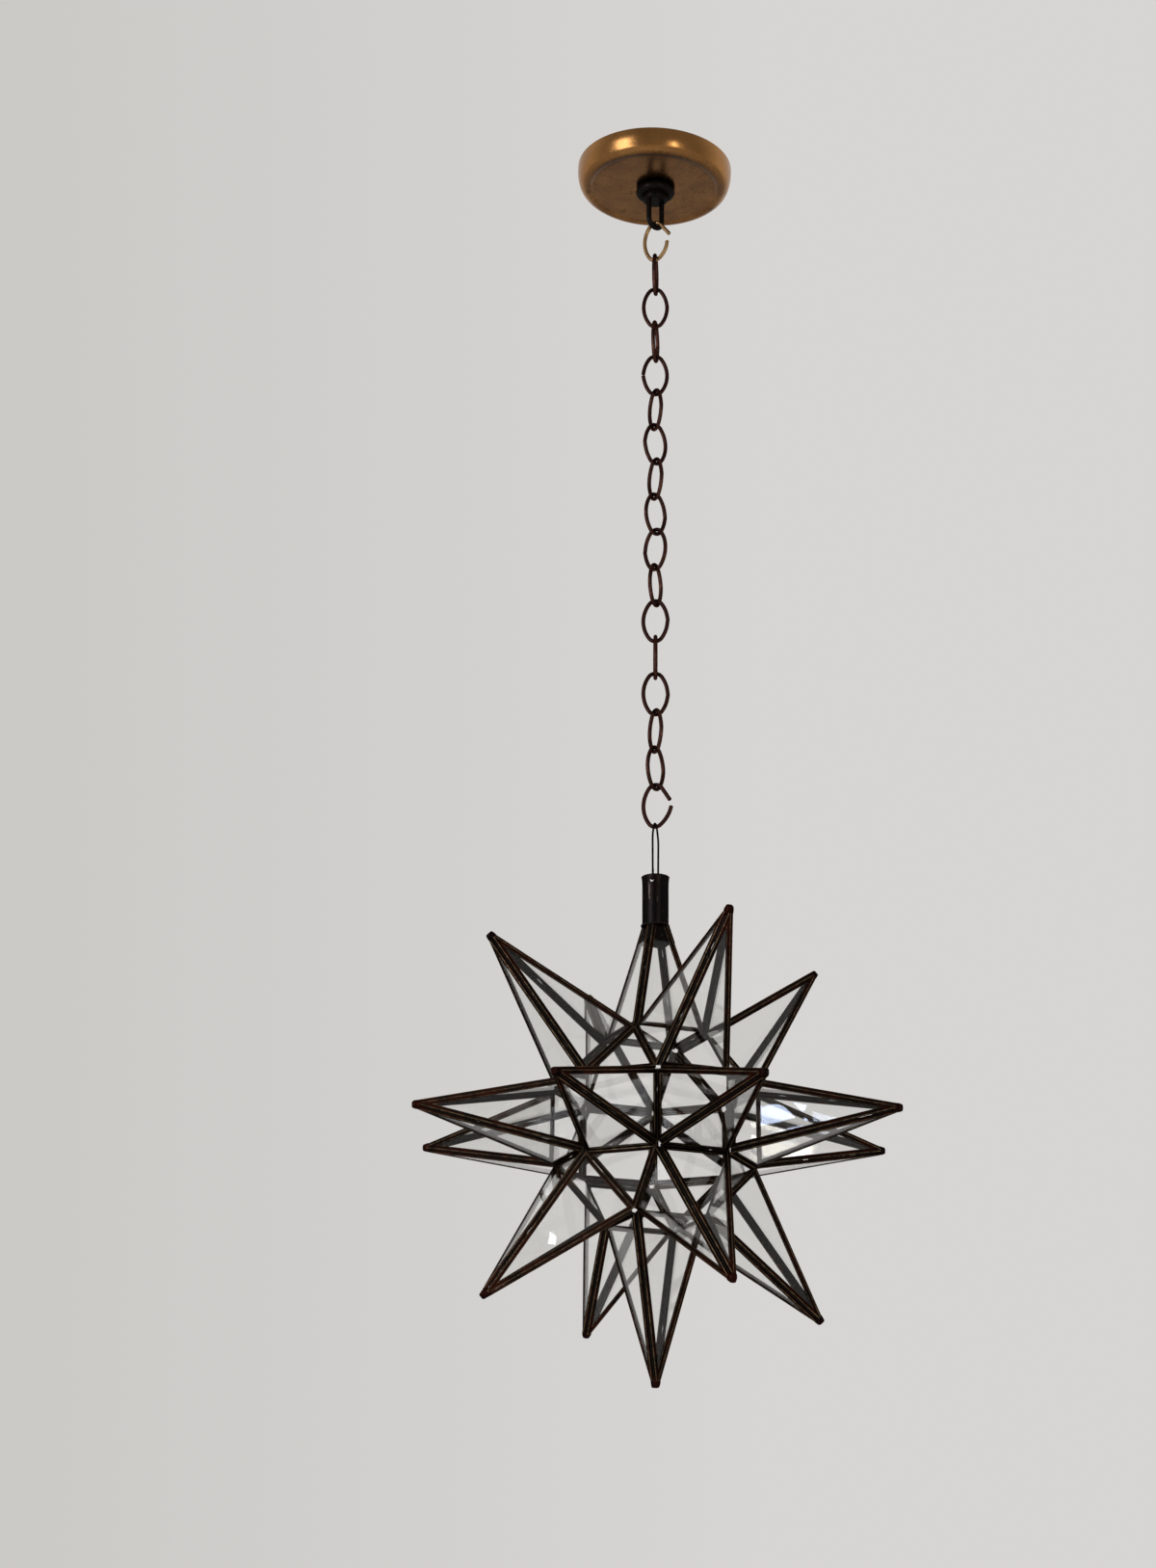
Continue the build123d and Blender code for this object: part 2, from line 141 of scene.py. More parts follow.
class PendantStarSizes(bpy.types.PropertyGroup):
    """Sizes of the star, its cames, its cap tube and its boot."""
    core_edge: length("Core edge", 56.5, "Side of each point's base")
    tip_radius: length("Tip radius", 190.5, "From the star's middle to a blunt tip")
    apex_radius: length("Apex radius", 196.0,
                        "From the star's middle to where a point's panes would meet")
    top_apex_radius: length("Top apex radius", 186.0,
                            "The same for the top point, which the tube cuts off")
    came_height: length("Came height", 2.6, "Thickness of a came across its pane")
    came_width: length("Came width", 3.1, "Width of a came's legs on the glass")
    came_lip: length("Came lip", 1.0, "From the came's back to the edge of the glass")
    glass: length("Glass", 1.8, "Thickness of the panes")
    seam_gap: length("Seam gap", 0.24, "Least gap between two neighbouring cames")
    cap_length: length("Tip cap length", 4.5, "Length of the solder cap on a tip")
    tube_radius: length("Tube radius", 10.1, "Outer radius of the cap tube")
    tube_wall: length("Tube wall", 0.8, "Wall of the cap tube")
    tube_bead: length("Tube bead", 1.0, "Radius of the tube's rolled rim")
    tube_hole: length("Tube hole", 1.5, "Radius of the holes for the hanger's feet")
    boot_sheet: length("Boot sheet", 0.7, "Thickness of the apron's sheet")
    boot_hole: length("Boot hole", 7.6, "Radius of the hole in the apron's top")


class PendantColours(bpy.types.PropertyGroup):
    """Colours of the finishes."""
    brass: colour("Aged brass", "#A07143", "Ground of the canopy")
    brass_dark: colour("Brown lacquer", "#714A32", "Brown stains on the canopy")
    # Besides specks of rubbing, the canopy's outer wall is blended half way to this colour, a
    # painted lighter wall.
    brass_bright: colour("Rubbed brass", "#C48C50", "Rubbed places of the canopy")
    link_brass: colour("Link brass", "#A9875C", "The top link")
    copper: colour("Antique copper", "#34201C", "Ground of the chain")
    # Pinkish tan on the outer side of the chain's wire: partly copper showing through, partly
    # painted highlight.
    copper_worn_and_highlight: colour("Worn copper", "#6A463A", "Rubbed places of the chain")
    black: colour("Blackened brass", "#14110F", "Collar, boss and loop")
    black_wire: colour("Black wire", "#0E0D0D", "Hanger wire")
    tube: colour("Tube patina", "#1A1818", "Ground of the tube and boot")
    tube_brown: colour("Tube brown", "#231613", "Brown places of the tube and boot")
    came: colour("Came patina", "#14100F", "Ground of the cames")
    came_red: colour("Came copper tint", "#381811", "Red-brown places of the cames")
    # Pale gold-grey along the cames' rounded edges: partly metal showing through the patina, partly
    # painted highlight.
    came_worn_and_highlight: colour("Came bare edge", "#C2A680", "Rubbed edges of the cames")
    solder: colour("Solder", "#2C2826", "Solder under patina")
    solder_bright: colour("Bare solder", "#9A9690", "Solder where the patina is missing")
    zinc: colour("Zinc plate", "#A9ABA8", "Strap, nipple and locknut")
    glass: colour("Glass", "#FDFDFC", "Tint of the panes")
    backdrop: colour("Backdrop", "#D7D5D3", "What stands behind the pendant")
    backdrop_left: colour("Backdrop left", "#CBC9C6", "The backdrop's shaded left side")
    floor: colour("Floor", "#DAD8D5", "The floor")
    brass_green: colour("Greenish brass", "#5A5430", "Verdigris specks on the canopy")
    brass_stain: colour("Brass stain", "#4A2418", "Red-brown stains on the canopy")
    # Painted shade in the crease under the canopy's shoulder.
    brass_crease_shade: colour("Brass crease", "#1E100A", "Dirt in the canopy's crease")
    link_brown: colour("Link brown", "#523C24", "Brown left on the top link")
    link_bright: colour("Bright link brass", "#CBA878", "Rubbed specks of the top link")
    black_thin: colour("Thin black", "#2E1D15", "Where the black finish is thin")
    wire_sheen: colour("Wire sheen", "#1E1A18", "Broken sheen of the hanger wire")
    tube_scratch: colour("Tube scratch", "#8C8074", "Scratches on the tube")
    zinc_yellow: colour("Yellowed zinc", "#B9B5A6", "Yellowish clouds in the zinc")


# ---------------------------------------------------------------- surfaces
class Skin:
    """The grids of one piece: their points, faces, texture coordinates and a mask of edge rubbing,
    painted shade and painted highlight.
    """

    def __init__(self):
        self.points, self.wear, self.faces, self.uvs, self.size = [], [], [], [], 0

    def grid(self, points, wrap_rows=False, wrap_columns=False, close_ends=False, wear=None):
        """Adds a grid of points. Each face joins a point to its next row and next column, where
        wrapping joins the last to the first. The texture's u is the way along the rows and v the
        way across, both in metres. close_ends adds a fan from the first and the last row to
        their middles."""
        rows, columns = points.shape[:2]
        wear = np.zeros((rows, columns)) if wear is None else np.broadcast_to(wear, (rows, columns))
        index = np.arange(rows * columns).reshape(rows, columns) + self.size
        along = np.linalg.norm(np.diff(points, axis=0, append=points[:1]), axis=2).mean(1)
        across = np.linalg.norm(np.diff(points, axis=1, append=points[:, :1]), axis=2).mean(0)
        u = np.concatenate([[0], np.cumsum(along)])
        v = np.concatenate([[0], np.cumsum(across)])
        i, j = np.meshgrid(np.arange(rows - (not wrap_rows)),
                           np.arange(columns - (not wrap_columns)),
                           indexing="ij")
        i, j = i.ravel(), j.ravel()
        next_i, next_j = (i + 1) % rows, (j + 1) % columns
        quads = np.stack([index[i, j], index[next_i, j], index[next_i, next_j], index[i, next_j]],
                         1)
        self.faces += quads.tolist()
        corner_u = np.stack([u[i], u[i + 1], u[i + 1], u[i]], 1)
        corner_v = np.stack([v[j], v[j], v[j + 1], v[j + 1]], 1)
        self.uvs.append(np.stack([corner_u, corner_v], 2).reshape(-1, 2))
        self.points.append(points.reshape(-1, 3))
        self.wear.append(wear.ravel())
        self.size += rows * columns
        if close_ends:
            for row in (0, rows - 1):
                middle = points[row].mean(0)
                ring, after = index[row], np.roll(index[row], -1)
                fan = np.stack([ring, after, np.full(columns, self.size)], 1)
                self.faces += fan.tolist()
                ends = np.stack([np.full(columns, u[row]), v[:-1]], 1)
                self.uvs.append(np.repeat(ends, 3, axis=0))
                self.points.append(middle[None])
                self.wear.append(wear[row].mean(keepdims=True))
                self.size += 1

    def piece(self, name, material, body, slot, *nodes, crease=32.0):
        """Makes the object: doubles merged, faces outwards, shaded smooth but for creases."""
        mesh = bpy.data.meshes.new(name)
        mesh.from_pydata(np.concatenate(self.points).tolist(), [], self.faces)
        mesh.uv_layers.new(name="UVMap").data.foreach_set("uv", np.concatenate(self.uvs).ravel())
        # The mask of edge rubbing, painted shade and painted highlight, for the finishes to read.
        rubbed_and_painted_light = mesh.attributes.new("wear", "FLOAT", "POINT")
        rubbed_and_painted_light.data.foreach_set("value", np.concatenate(self.wear).astype(np.float32))
        work = bmesh.new()
        work.from_mesh(mesh)
        bmesh.ops.remove_doubles(work, verts=work.verts, dist=2e-6)
        bmesh.ops.dissolve_degenerate(work, edges=work.edges, dist=1e-6)
        bmesh.ops.recalc_face_normals(work, faces=work.faces)
        work.to_mesh(mesh)
        work.free()
        mesh.polygons.foreach_set("use_smooth", np.ones(len(mesh.polygons), bool))
        mesh.set_sharp_from_angle(angle=math.radians(crease))
        made = bpy.data.objects.new(name, mesh)
        bpy.context.scene.collection.objects.link(made)
        made.data.materials.append(material)
        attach(made, body)
        if nodes:
            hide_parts(*nodes)
        return made


def surface(points, **how):
    """A skin of one grid."""
    skin = Skin()
    skin.grid(points, **how)
    return skin


def waves(t, seed, count=5):
    """Smooth unevenness that closes on itself: a sum of sines over t from 0 to 1, of random
    phase and of one to a few turns, with the amplitude falling as the turns rise; about -1 to 1."""
    chance = np.random.default_rng(seed)
    phases = chance.uniform(0, 2 * np.pi, count)
    weights = chance.uniform(0.4, 1.0, count) / np.arange(1, count + 1)
    turns = np.arange(1, count + 1)
    total = np.sin(2 * np.pi * np.multiply.outer(t, turns) + phases) @ weights
    return total / weights.sum()


def drift(points, amount, scale, seed):
    """Moves points by a smooth field: each coordinate gets the sine of a random plane wave of
    that scale, so that neighbours move alike and straight strips come out a little wavy."""
    chance = np.random.default_rng(seed)
    moved = points.copy()
    for _ in range(3):
        direction = chance.normal(size=3)
        direction /= np.linalg.norm(direction) * scale
        shift = chance.normal(size=3)
        phase = chance.uniform(0, 2 * np.pi)
        moved = moved + np.sin(2 * np.pi * points @ direction + phase)[...,
                                                                       None] * shift * amount / 3
    return moved


def polar(radius, angle, height):
    """Points at a radius, angle and height about Z."""
    return np.stack([radius * np.cos(angle), radius * np.sin(angle), height], -1)


def circle(count):
    """Angles once round, without the last, which is the first again."""
    return np.linspace(0, 2 * np.pi, count, endpoint=False)


def turned_profile(profile, sides, ripple=0.0, seed=0):
    """Surface of revolution: the point at radius r and height z of the profile, at angle a, is
    (r cos a, r sin a, z). The radius is uneven by ripple."""
    angle = circle(sides)
    uneven = 1 + ripple * waves(angle / (2 * np.pi), seed)
    radius = profile[:, :1] * uneven[None]
    height = np.broadcast_to(profile[:, 1:], radius.shape)
    return polar(radius, angle, height)


def arc(centre, radius, start, sweep, count):
    """Points of a circle's arc in a plane, from the start angle through the sweep, in degrees."""
    angle = np.radians(np.linspace(start, start + sweep, count))
    return np.stack([centre[0] + radius * np.cos(angle), centre[1] + radius * np.sin(angle)], 1)


def tangent_arc(start, direction, end, count):
    """Circle's arc that leaves start along direction and reaches end. Its centre is where the
    normal at start meets the chord's bisector. Gives the points and the direction at the end."""
    start, end = np.array(start), np.array(end)
    direction = np.array(direction) / np.linalg.norm(direction)
    normal = np.array([-direction[1], direction[0]])
    chord = end - start
    radius = chord @ chord / (2 * chord @ normal)
    centre = start + normal * radius
    first = math.degrees(math.atan2(*(start - centre)[::-1]))
    sweep = math.degrees(2 * math.atan2(chord @ normal, chord @ direction))
    points = arc(centre, abs(radius), first, sweep, count)
    turn = math.radians(sweep)
    spin = np.array([[math.cos(turn), -math.sin(turn)], [math.sin(turn), math.cos(turn)]])
    return points, spin @ direction


def rounded_line(corners, radii, count=9):
    """Straight runs joined by arcs: each inner corner is cut back along both runs by its radius
    times the tangent of half the turn, and the arc between has that radius."""
    corners = [np.array(corner, float) for corner in corners]
    points = [corners[0][None]]
    for before, corner, after, radius in zip(corners, corners[1:], corners[2:], radii):
        into = (corner - before) / np.linalg.norm(corner - before)
        out = (after - corner) / np.linalg.norm(after - corner)
        turn = math.acos(np.clip(into @ out, -1, 1))
        cut = radius * math.tan(turn / 2)
        points.append(tangent_arc(corner - into * cut, into, corner + out * cut, count)[0])
    return np.concatenate(points + [corners[-1][None]])


def evenly(points, spacing):
    """The same line with points at an even spacing, by arc length."""
    run = np.concatenate([[0], np.cumsum(np.linalg.norm(np.diff(points, axis=0), axis=1))])
    keep = np.concatenate([[True], np.diff(run) > 1e-9])
    run, points = run[keep], points[keep]
    along = np.linspace(0, run[-1], max(3, int(round(run[-1] / spacing)) + 1))
    return np.stack([np.interp(along, run, points[:, axis]) for axis in range(points.shape[1])], 1)


def wire(line, plane_normal, radius, sides, end_round=None):
    """Round wire along a line: at each point a circle in the plane of the line's normal and the
    plane's normal. With end_round the last points draw in to a chamfered cut end. The mask of
    edge rubbing and painted highlight is on the outer side."""
    along = np.gradient(line, axis=0)
    along /= np.linalg.norm(along, axis=1, keepdims=True)
    outward = np.cross(along, plane_normal)
    outward /= np.linalg.norm(outward, axis=1, keepdims=True)
    across = np.cross(outward, along)
    if end_round:
        line = np.concatenate([line[:1] - along[:1] * end_round, line,
                               line[-1:] + along[-1:] * end_round])
        outward = np.concatenate([outward[:1], outward, outward[-1:]])
        across = np.concatenate([across[:1], across, across[-1:]])
    size = np.full(len(line), radius)
    if end_round:
        size[[0, -1]] -= 1.4 * end_round
    angle = circle(sides)
    ring = np.cos(angle)[None, :, None] * outward[:, None] + np.sin(angle)[None, :,
                                                                           None] * across[:, None]
    return line[:, None] + ring * size[:, None, None], np.clip(np.abs(np.cos(angle)), 0, 1) ** 3


# ---------------------------------------------------------------- places read from the frame
def middle_height(node):
    low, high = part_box(node)
    return (low.z + high.z) / 2


def axis_turn(joint):
    """The turn about Z of the wire that a joint swings on, and the joint's height. The turn is
    that of the wire's width axis, taken with its +X half."""
    found = next(item for item in frame["joints"] if item["name"] == joint)
    x, y = found["axis"][:2]
    if x < -1e-6 or (abs(x) <= 1e-6 and y > 0):
        x, y = -x, -y
    return math.degrees(math.atan2(-y, x)), found["pos_m"][2]


def hanging(turn, height, flat):
    """Stands a flat line upright: its x runs along the width axis of that turn, its y up from
    height."""
    angle = math.radians(turn)
    width = np.array([math.cos(angle), -math.sin(angle), 0.0])
    placed = flat[:, :1] * width + (flat[:, 1:2] + height) * UP
    return placed, np.cross(width, UP)


def star_centre():
    return np.array([0.0, 0.0, middle_height("glass_belt")])


def outwards(azimuth):
    angle = math.radians(azimuth)
    return np.array([math.sin(angle), -math.cos(angle), 0.0])


# ---------------------------------------------------------------- finishes
def add(tree, kind, inputs, **settings):
    """Adds a node. inputs maps a socket to a value or to the socket that feeds it."""
    made = tree.nodes.new(kind)
    for name, value in settings.items():
        setattr(made, name, value)
    for socket, value in inputs.items():
        if isinstance(value, bpy.types.NodeSocket):
            tree.links.new(value, made.inputs[socket])
        else:
            made.inputs[socket].default_value = value
    return made


def finish(name, **fixed):
    """A new material with a Principled shader, the sockets that are the same all over set on it."""
    material = bpy.data.materials.new(name)
    material.use_nodes = True
    tree = material.node_tree
    tree.nodes.clear()
    shader = add(tree, "ShaderNodeBsdfPrincipled",
                 {key.replace("_", " "): v for key, v in fixed.items()})
    add(tree, "ShaderNodeOutputMaterial", {"Surface": shader.outputs["BSDF"]})
    place = add(tree, "ShaderNodeTexCoord", {}).outputs["Object"]
    return material, tree, shader, place


# Dark finishes scatter light at a glancing angle, so their outlines stay dark.
DULL_EDGE = (0.4, 0.4, 0.4, 1.0)


def mottle(tree, place, grain, low, high, detail=4.0, roughness=0.6, stretch=None):
    """Noise of a grain in metres, sharpened so that it runs from 0 at low to 1 at high."""
    if stretch:
        place = add(tree, "ShaderNodeMapping",
                    {"Vector": place, "Scale": stretch}).outputs["Vector"]
    noise = add(tree, "ShaderNodeTexNoise", {"Vector": place, "Scale": 1 / grain, "Detail": detail,
                                             "Roughness": roughness})
    spread = add(tree, "ShaderNodeMapRange", {"Value": noise.outputs["Fac"], "From Min": low,
                                              "From Max": high})
    return spread.outputs["Result"]


def blend_colours(tree, share, first, second):
    """Colour that goes from first to second as share goes from 0 to 1."""
    ends = {6: first, 7: second}
    for socket, value in ends.items():
        if not isinstance(value, bpy.types.NodeSocket):
            ends[socket] = (*value, 1.0)
    return add(tree, "ShaderNodeMix", {0: share, **ends}, data_type="RGBA").outputs[2]


def combine(tree, operation, first, second):
    return add(tree, "ShaderNodeMath", {0: first, 1: second}, operation=operation,
               use_clamp=True).outputs[0]


def times(tree, first, second):
    return combine(tree, "MULTIPLY", first, second)


def plus(tree, first, second):
    return combine(tree, "ADD", first, second)


def bumps(tree, shader, height, depth, strength=1.0):
    """Relief of a depth in metres."""
    relief = add(tree, "ShaderNodeBump", {"Height": height, "Distance": depth,
                                          "Strength": strength})
    tree.links.new(relief.outputs["Normal"], shader.inputs["Normal"])


def feed(tree, shader, **sockets):
    for name, source in sockets.items():
        tree.links.new(source, shader.inputs[name.replace("_", " ")])


def between(tree, share, low, high):
    """A value that goes from low to high as share goes from 0 to 1."""
    spread = add(tree, "ShaderNodeMapRange", {"Value": share, "To Min": low, "To Max": high})
    return spread.outputs["Result"]


def aged_lacquered_brass(colours):
    """Spun brass under old lacquer: warm brown-gold, clouded, with brown stains, fine turning
    lines and a soft gloss that is duller over the stains. The outer wall is painted lighter than
    the bottom plate, and painted shade darkens the crease under the shoulder, strongest at the
    front."""
    material, tree, shader, place = finish("aged_lacquered_brass", Metallic=1.0)
    clouds = mottle(tree, place, 0.022, 0.35, 0.7)
    grit = mottle(tree, place, 0.0025, 0.35, 0.72, detail=6.0, roughness=0.75)
    stains = mottle(tree, place, 0.011, 0.56, 0.72, detail=3.0)
    ground = blend_colours(tree, clouds, colours.brass_dark, colours.brass)
    speckle = mottle(tree, place, 0.0014, 0.5, 0.66, detail=2.0)
    rubbed_and_painted_light = blend_colours(tree, times(tree, grit, 0.3), ground, colours.brass_bright)
    green = blend_colours(tree, times(tree, speckle, 0.6), rubbed_and_painted_light, colours.brass_green)
    stained_and_painted_light = blend_colours(tree, times(tree, stains, 0.6), green, colours.brass_stain)
    # Painted shade: the mesh's mask darkens the crease under the shoulder towards near black.
    crease = add(tree, "ShaderNodeAttribute", {}, attribute_name="wear").outputs["Fac"]
    stained_and_painted_light = blend_colours(tree, crease, stained_and_painted_light, colours.brass_crease_shade)
    cross = add(tree, "ShaderNodeSeparateXYZ", {"Vector": place})
    across = add(tree, "ShaderNodeCombineXYZ", {"X": cross.outputs["X"], "Y": cross.outputs["Y"]})
    radius = add(tree, "ShaderNodeVectorMath", {0: across.outputs["Vector"]}, operation="LENGTH")
    # Painted light: beyond the shoulder the outer wall is blended half way to the bright brass, so
    # that it reads lighter than the bottom plate.
    wall = add(tree, "ShaderNodeMapRange", {"Value": radius.outputs["Value"],
                                            "From Min": WALL_STARTS, "From Max": WALL_ENDS})
    painted_wall_light = times(tree, wall.outputs["Result"], 0.5)
    stained_and_painted_light = blend_colours(tree, painted_wall_light, stained_and_painted_light, colours.brass_bright)
    lines = add(tree, "ShaderNodeTexNoise", {"W": radius.outputs["Value"], "Scale": 1 / 0.0012,
                                             "Detail": 3.0},
                noise_dimensions="1D")
    gloss = plus(tree, times(tree, stains, 0.5), times(tree, grit, 0.4))
    gloss = plus(tree, between(tree, gloss, 0.2, 0.34), times(tree, crease, 0.3))
    feed(tree, shader, Base_Color=stained_and_painted_light, Roughness=gloss)
    height = plus(tree, times(tree, lines.outputs["Fac"], 0.5),
                     times(tree, grit, 0.5))
    bumps(tree, shader, height, 0.00003)
    return material


def pale_edged_plate(name, ground, worn_and_highlight, grain, shine, dull, metallic=1.0):
    """Dark plated or patinated metal whose outer edges show pale metal, partly rubbing and partly
    painted highlight: the mesh's mask and a fine noise decide where the pale metal shows, and the
    pale metal is the glossier."""
    material, tree, shader, place = finish(name, Specular_Tint=DULL_EDGE)
    rubbed_and_painted_light = add(tree, "ShaderNodeAttribute", {}, attribute_name="wear").outputs["Fac"]
    patches = mottle(tree, place, grain * 4, 0.42, 0.68)
    grit = mottle(tree, place, grain, 0.4, 0.75, detail=6.0, roughness=0.75)
    # Pale edge metal: partly rubbing through the finish, partly painted highlight.
    bare = times(tree, rubbed_and_painted_light, plus(tree, times(tree, patches, 0.8), 0.3))
    bare = times(tree, bare, plus(tree, grit, 0.5))
    feed(tree, shader, Base_Color=blend_colours(tree, bare, ground, worn_and_highlight),
         Metallic=between(tree, bare, metallic, 1.0),
         Roughness=between(tree, plus(tree, bare, times(tree, grit, 0.3)), dull, shine))
    bumps(tree, shader, grit, 0.00002)
    return material, tree, shader, place, bare


def antique_copper_plate(colours):
    """Copper plate under a dark chemical finish: chocolate brown, satin, pinkish tan on the outside
    of each bend, partly rubbing and partly painted highlight, with draw marks along the wire."""
    return pale_edged_plate("antique_copper_plate", colours.copper, colours.copper_worn_and_highlight, 0.0022, 0.3,
                        0.38)[0]


def worn_link_brass(colours):
    """Brass-plated wire without the dark finish: yellow-gold, satin, with brown left in the draw
    marks."""
    material, tree, shader, place = finish("worn_link_brass", Metallic=1.0)
    grit = mottle(tree, place, 0.0016, 0.35, 0.7, detail=6.0, roughness=0.7)
    clouds = mottle(tree, place, 0.006, 0.45, 0.7)
    ground = blend_colours(tree, times(tree, clouds, 0.7), colours.link_brass, colours.link_brown)
    feed(tree, shader, Base_Color=blend_colours(tree, times(tree, grit, 0.4), ground,
                                                colours.link_bright),
         Roughness=between(tree, grit, 0.38, 0.26))
    bumps(tree, shader, grit, 0.00003)
    return material


def blackened_brass(colours):
    """Cast and turned brass under black finish: near black, satin, brown where the black is
    thin."""
    material, tree, shader, place = finish("blackened_brass", Metallic=0.7, Specular_Tint=DULL_EDGE)
    thin = mottle(tree, place, 0.006, 0.5, 0.75)
    grit = mottle(tree, place, 0.0012, 0.35, 0.7, detail=5.0)
    feed(tree, shader, Base_Color=blend_colours(tree, times(tree, thin, 0.6), colours.black,
                                                colours.black_thin),
         Roughness=between(tree, grit, 0.34, 0.5))
    bumps(tree, shader, grit, 0.00004)
    return material


def black_iron_wire(colours):
    """Thin drawn iron wire, blackened: dark with a fine broken sheen."""
    material, tree, shader, place = finish("black_iron_wire", Metallic=0.9, Specular_Tint=DULL_EDGE)
    grit = mottle(tree, place, 0.001, 0.35, 0.7, detail=5.0)
    feed(tree, shader, Base_Color=blend_colours(tree, times(tree, grit, 0.5), colours.black_wire,
                                                colours.wire_sheen),
         Roughness=between(tree, grit, 0.35, 0.55))
    bumps(tree, shader, grit, 0.00003)
    return material


def tube_patina(colours):
    """Sheet metal under a brown-black patina: semi-gloss, so that it catches pale upright
    streaks, with brown clouds and scratches."""
    material, tree, shader, place = finish("tube_patina", Metallic=0.97, Specular_Tint=DULL_EDGE)
    clouds = mottle(tree, place, 0.009, 0.42, 0.7, stretch=(1.0, 1.0, 0.35))
    grit = mottle(tree, place, 0.0014, 0.35, 0.72, detail=6.0, roughness=0.7)
    scratch = mottle(tree, place, 0.0022, 0.62, 0.7, detail=2.0, stretch=(1.0, 1.0, 0.12))
    ground = blend_colours(tree, times(tree, clouds, 0.8), colours.tube, colours.tube_brown)
    feed(tree, shader, Base_Color=blend_colours(tree, times(tree, scratch, 0.35), ground,
                                                colours.tube_scratch),
         Roughness=between(tree, grit, 0.26, 0.42))
    bumps(tree, shader, grit, 0.00005)
    return material


def came_patina(colours):
    """Drawn came under black patina: brown-black with a soft gloss, copper red towards the tips,
    and pale gold-grey metal along its rounded edges, partly rubbing and partly painted highlight."""
    material, tree, shader, place, bare = pale_edged_plate(
        "came_patina", colours.came, colours.came_worn_and_highlight, 0.0012, 0.22, 0.38, metallic=0.97)
    middle = add(tree, "ShaderNodeMapping", {"Vector": place, "Location": tuple(-star_centre())})
    away = add(tree, "ShaderNodeVectorMath", {0: middle.outputs["Vector"]}, operation="LENGTH")
    near_tip = add(tree, "ShaderNodeMapRange",
                   {"Value": away.outputs["Value"], "From Min": 0.07, "From Max": 0.19})
    clouds = mottle(tree, place, 0.016, 0.4, 0.66)
    red = times(tree, plus(tree, near_tip.outputs["Result"], 0.25), clouds)
    ground = blend_colours(tree, red, colours.came, colours.came_red)
    # The pale gold-grey along the rounded edges is partly painted highlight.
    feed(tree, shader, Base_Color=blend_colours(tree, bare, ground, colours.came_worn_and_highlight))
    return material


def patinated_solder(colours):
    """Tin-lead solder under black patina: lumpy, satin, with pale grey where the patina didn't
    take."""
    material, tree, shader, place = finish("patinated_solder", Metallic=0.95,
                                           Specular_Tint=DULL_EDGE)
    lumps = mottle(tree, place, 0.0025, 0.35, 0.7, detail=3.0)
    missed = mottle(tree, place, 0.02, 0.6, 0.68)
    missed = times(tree, missed, mottle(tree, place, 0.002, 0.45, 0.6))
    feed(tree, shader, Base_Color=blend_colours(tree, missed, colours.solder,
                                                colours.solder_bright),
         Roughness=between(tree, lumps, 0.28, 0.5))
    bumps(tree, shader, lumps, 0.00005)
    return material


def zinc_plate(colours):
    """Bright zinc on rolled steel: pale grey with bluish and yellow clouds and fine rolling
    lines."""
    material, tree, shader, place = finish("zinc_plate", Metallic=1.0)
    clouds = mottle(tree, place, 0.007, 0.3, 0.7, detail=2.0)
    lines = mottle(tree, place, 0.0006, 0.3, 0.7, stretch=(0.05, 1.0, 1.0))
    feed(tree, shader, Base_Color=blend_colours(tree, clouds, colours.zinc, colours.zinc_yellow),
         Roughness=between(tree, lines, 0.25, 0.4))
    bumps(tree, shader, lines, 0.00001)
    return material


def clear_glass(colours):
    """Window glass: clear, polished, slightly wavy, with a thin film of dust that dulls its
    gloss."""
    material, tree, shader, place = finish("clear_glass", IOR=1.5, Transmission_Weight=1.0,
                                           Metallic=0.0)
    shader.inputs["Base Color"].default_value = (*colours.glass, 1.0)
    smears = mottle(tree, place, 0.03, 0.5, 0.8, detail=6.0, roughness=0.7)
    feed(tree, shader, Roughness=between(tree, smears, 0.0, 0.08))
    ripple = mottle(tree, place, 0.035, 0.0, 1.0, detail=1.0)
    bumps(tree, shader, ripple, 0.00005)
    return material


FINISHES = {}


def material_named(maker):
    """Each finish is made once, at its first use."""
    if maker not in FINISHES:
        FINISHES[maker] = maker(bpy.context.scene.pendant_colours)
    return FINISHES[maker]


def dress(node, maker):
    """Gives a CAD node a finish in place of its plain one."""
    mesh = frame["nodes"][node].data
    mesh.materials.clear()
    mesh.materials.append(material_named(maker))


# ---------------------------------------------------------------- ceiling fitting
def sheet_profile(outer, thickness):
    """A closed profile of even thickness: the outer line, then the same line moved inwards and
    reversed, with half-round lips where they meet."""
    along = np.gradient(outer, axis=0)
    along /= np.linalg.norm(along, axis=1, keepdims=True)
    inward = np.stack([along[:, 1], -along[:, 0]], 1)
    lip = np.linspace(0, np.pi, 6)[1:-1]
    last = outer[-1] + (inward[-1] * (1 - np.cos(lip))[:, None] + along[-1]
                        * np.sin(lip)[:, None]) * thickness / 2
    return np.concatenate([outer, last, (outer + inward * thickness)[::-1]])


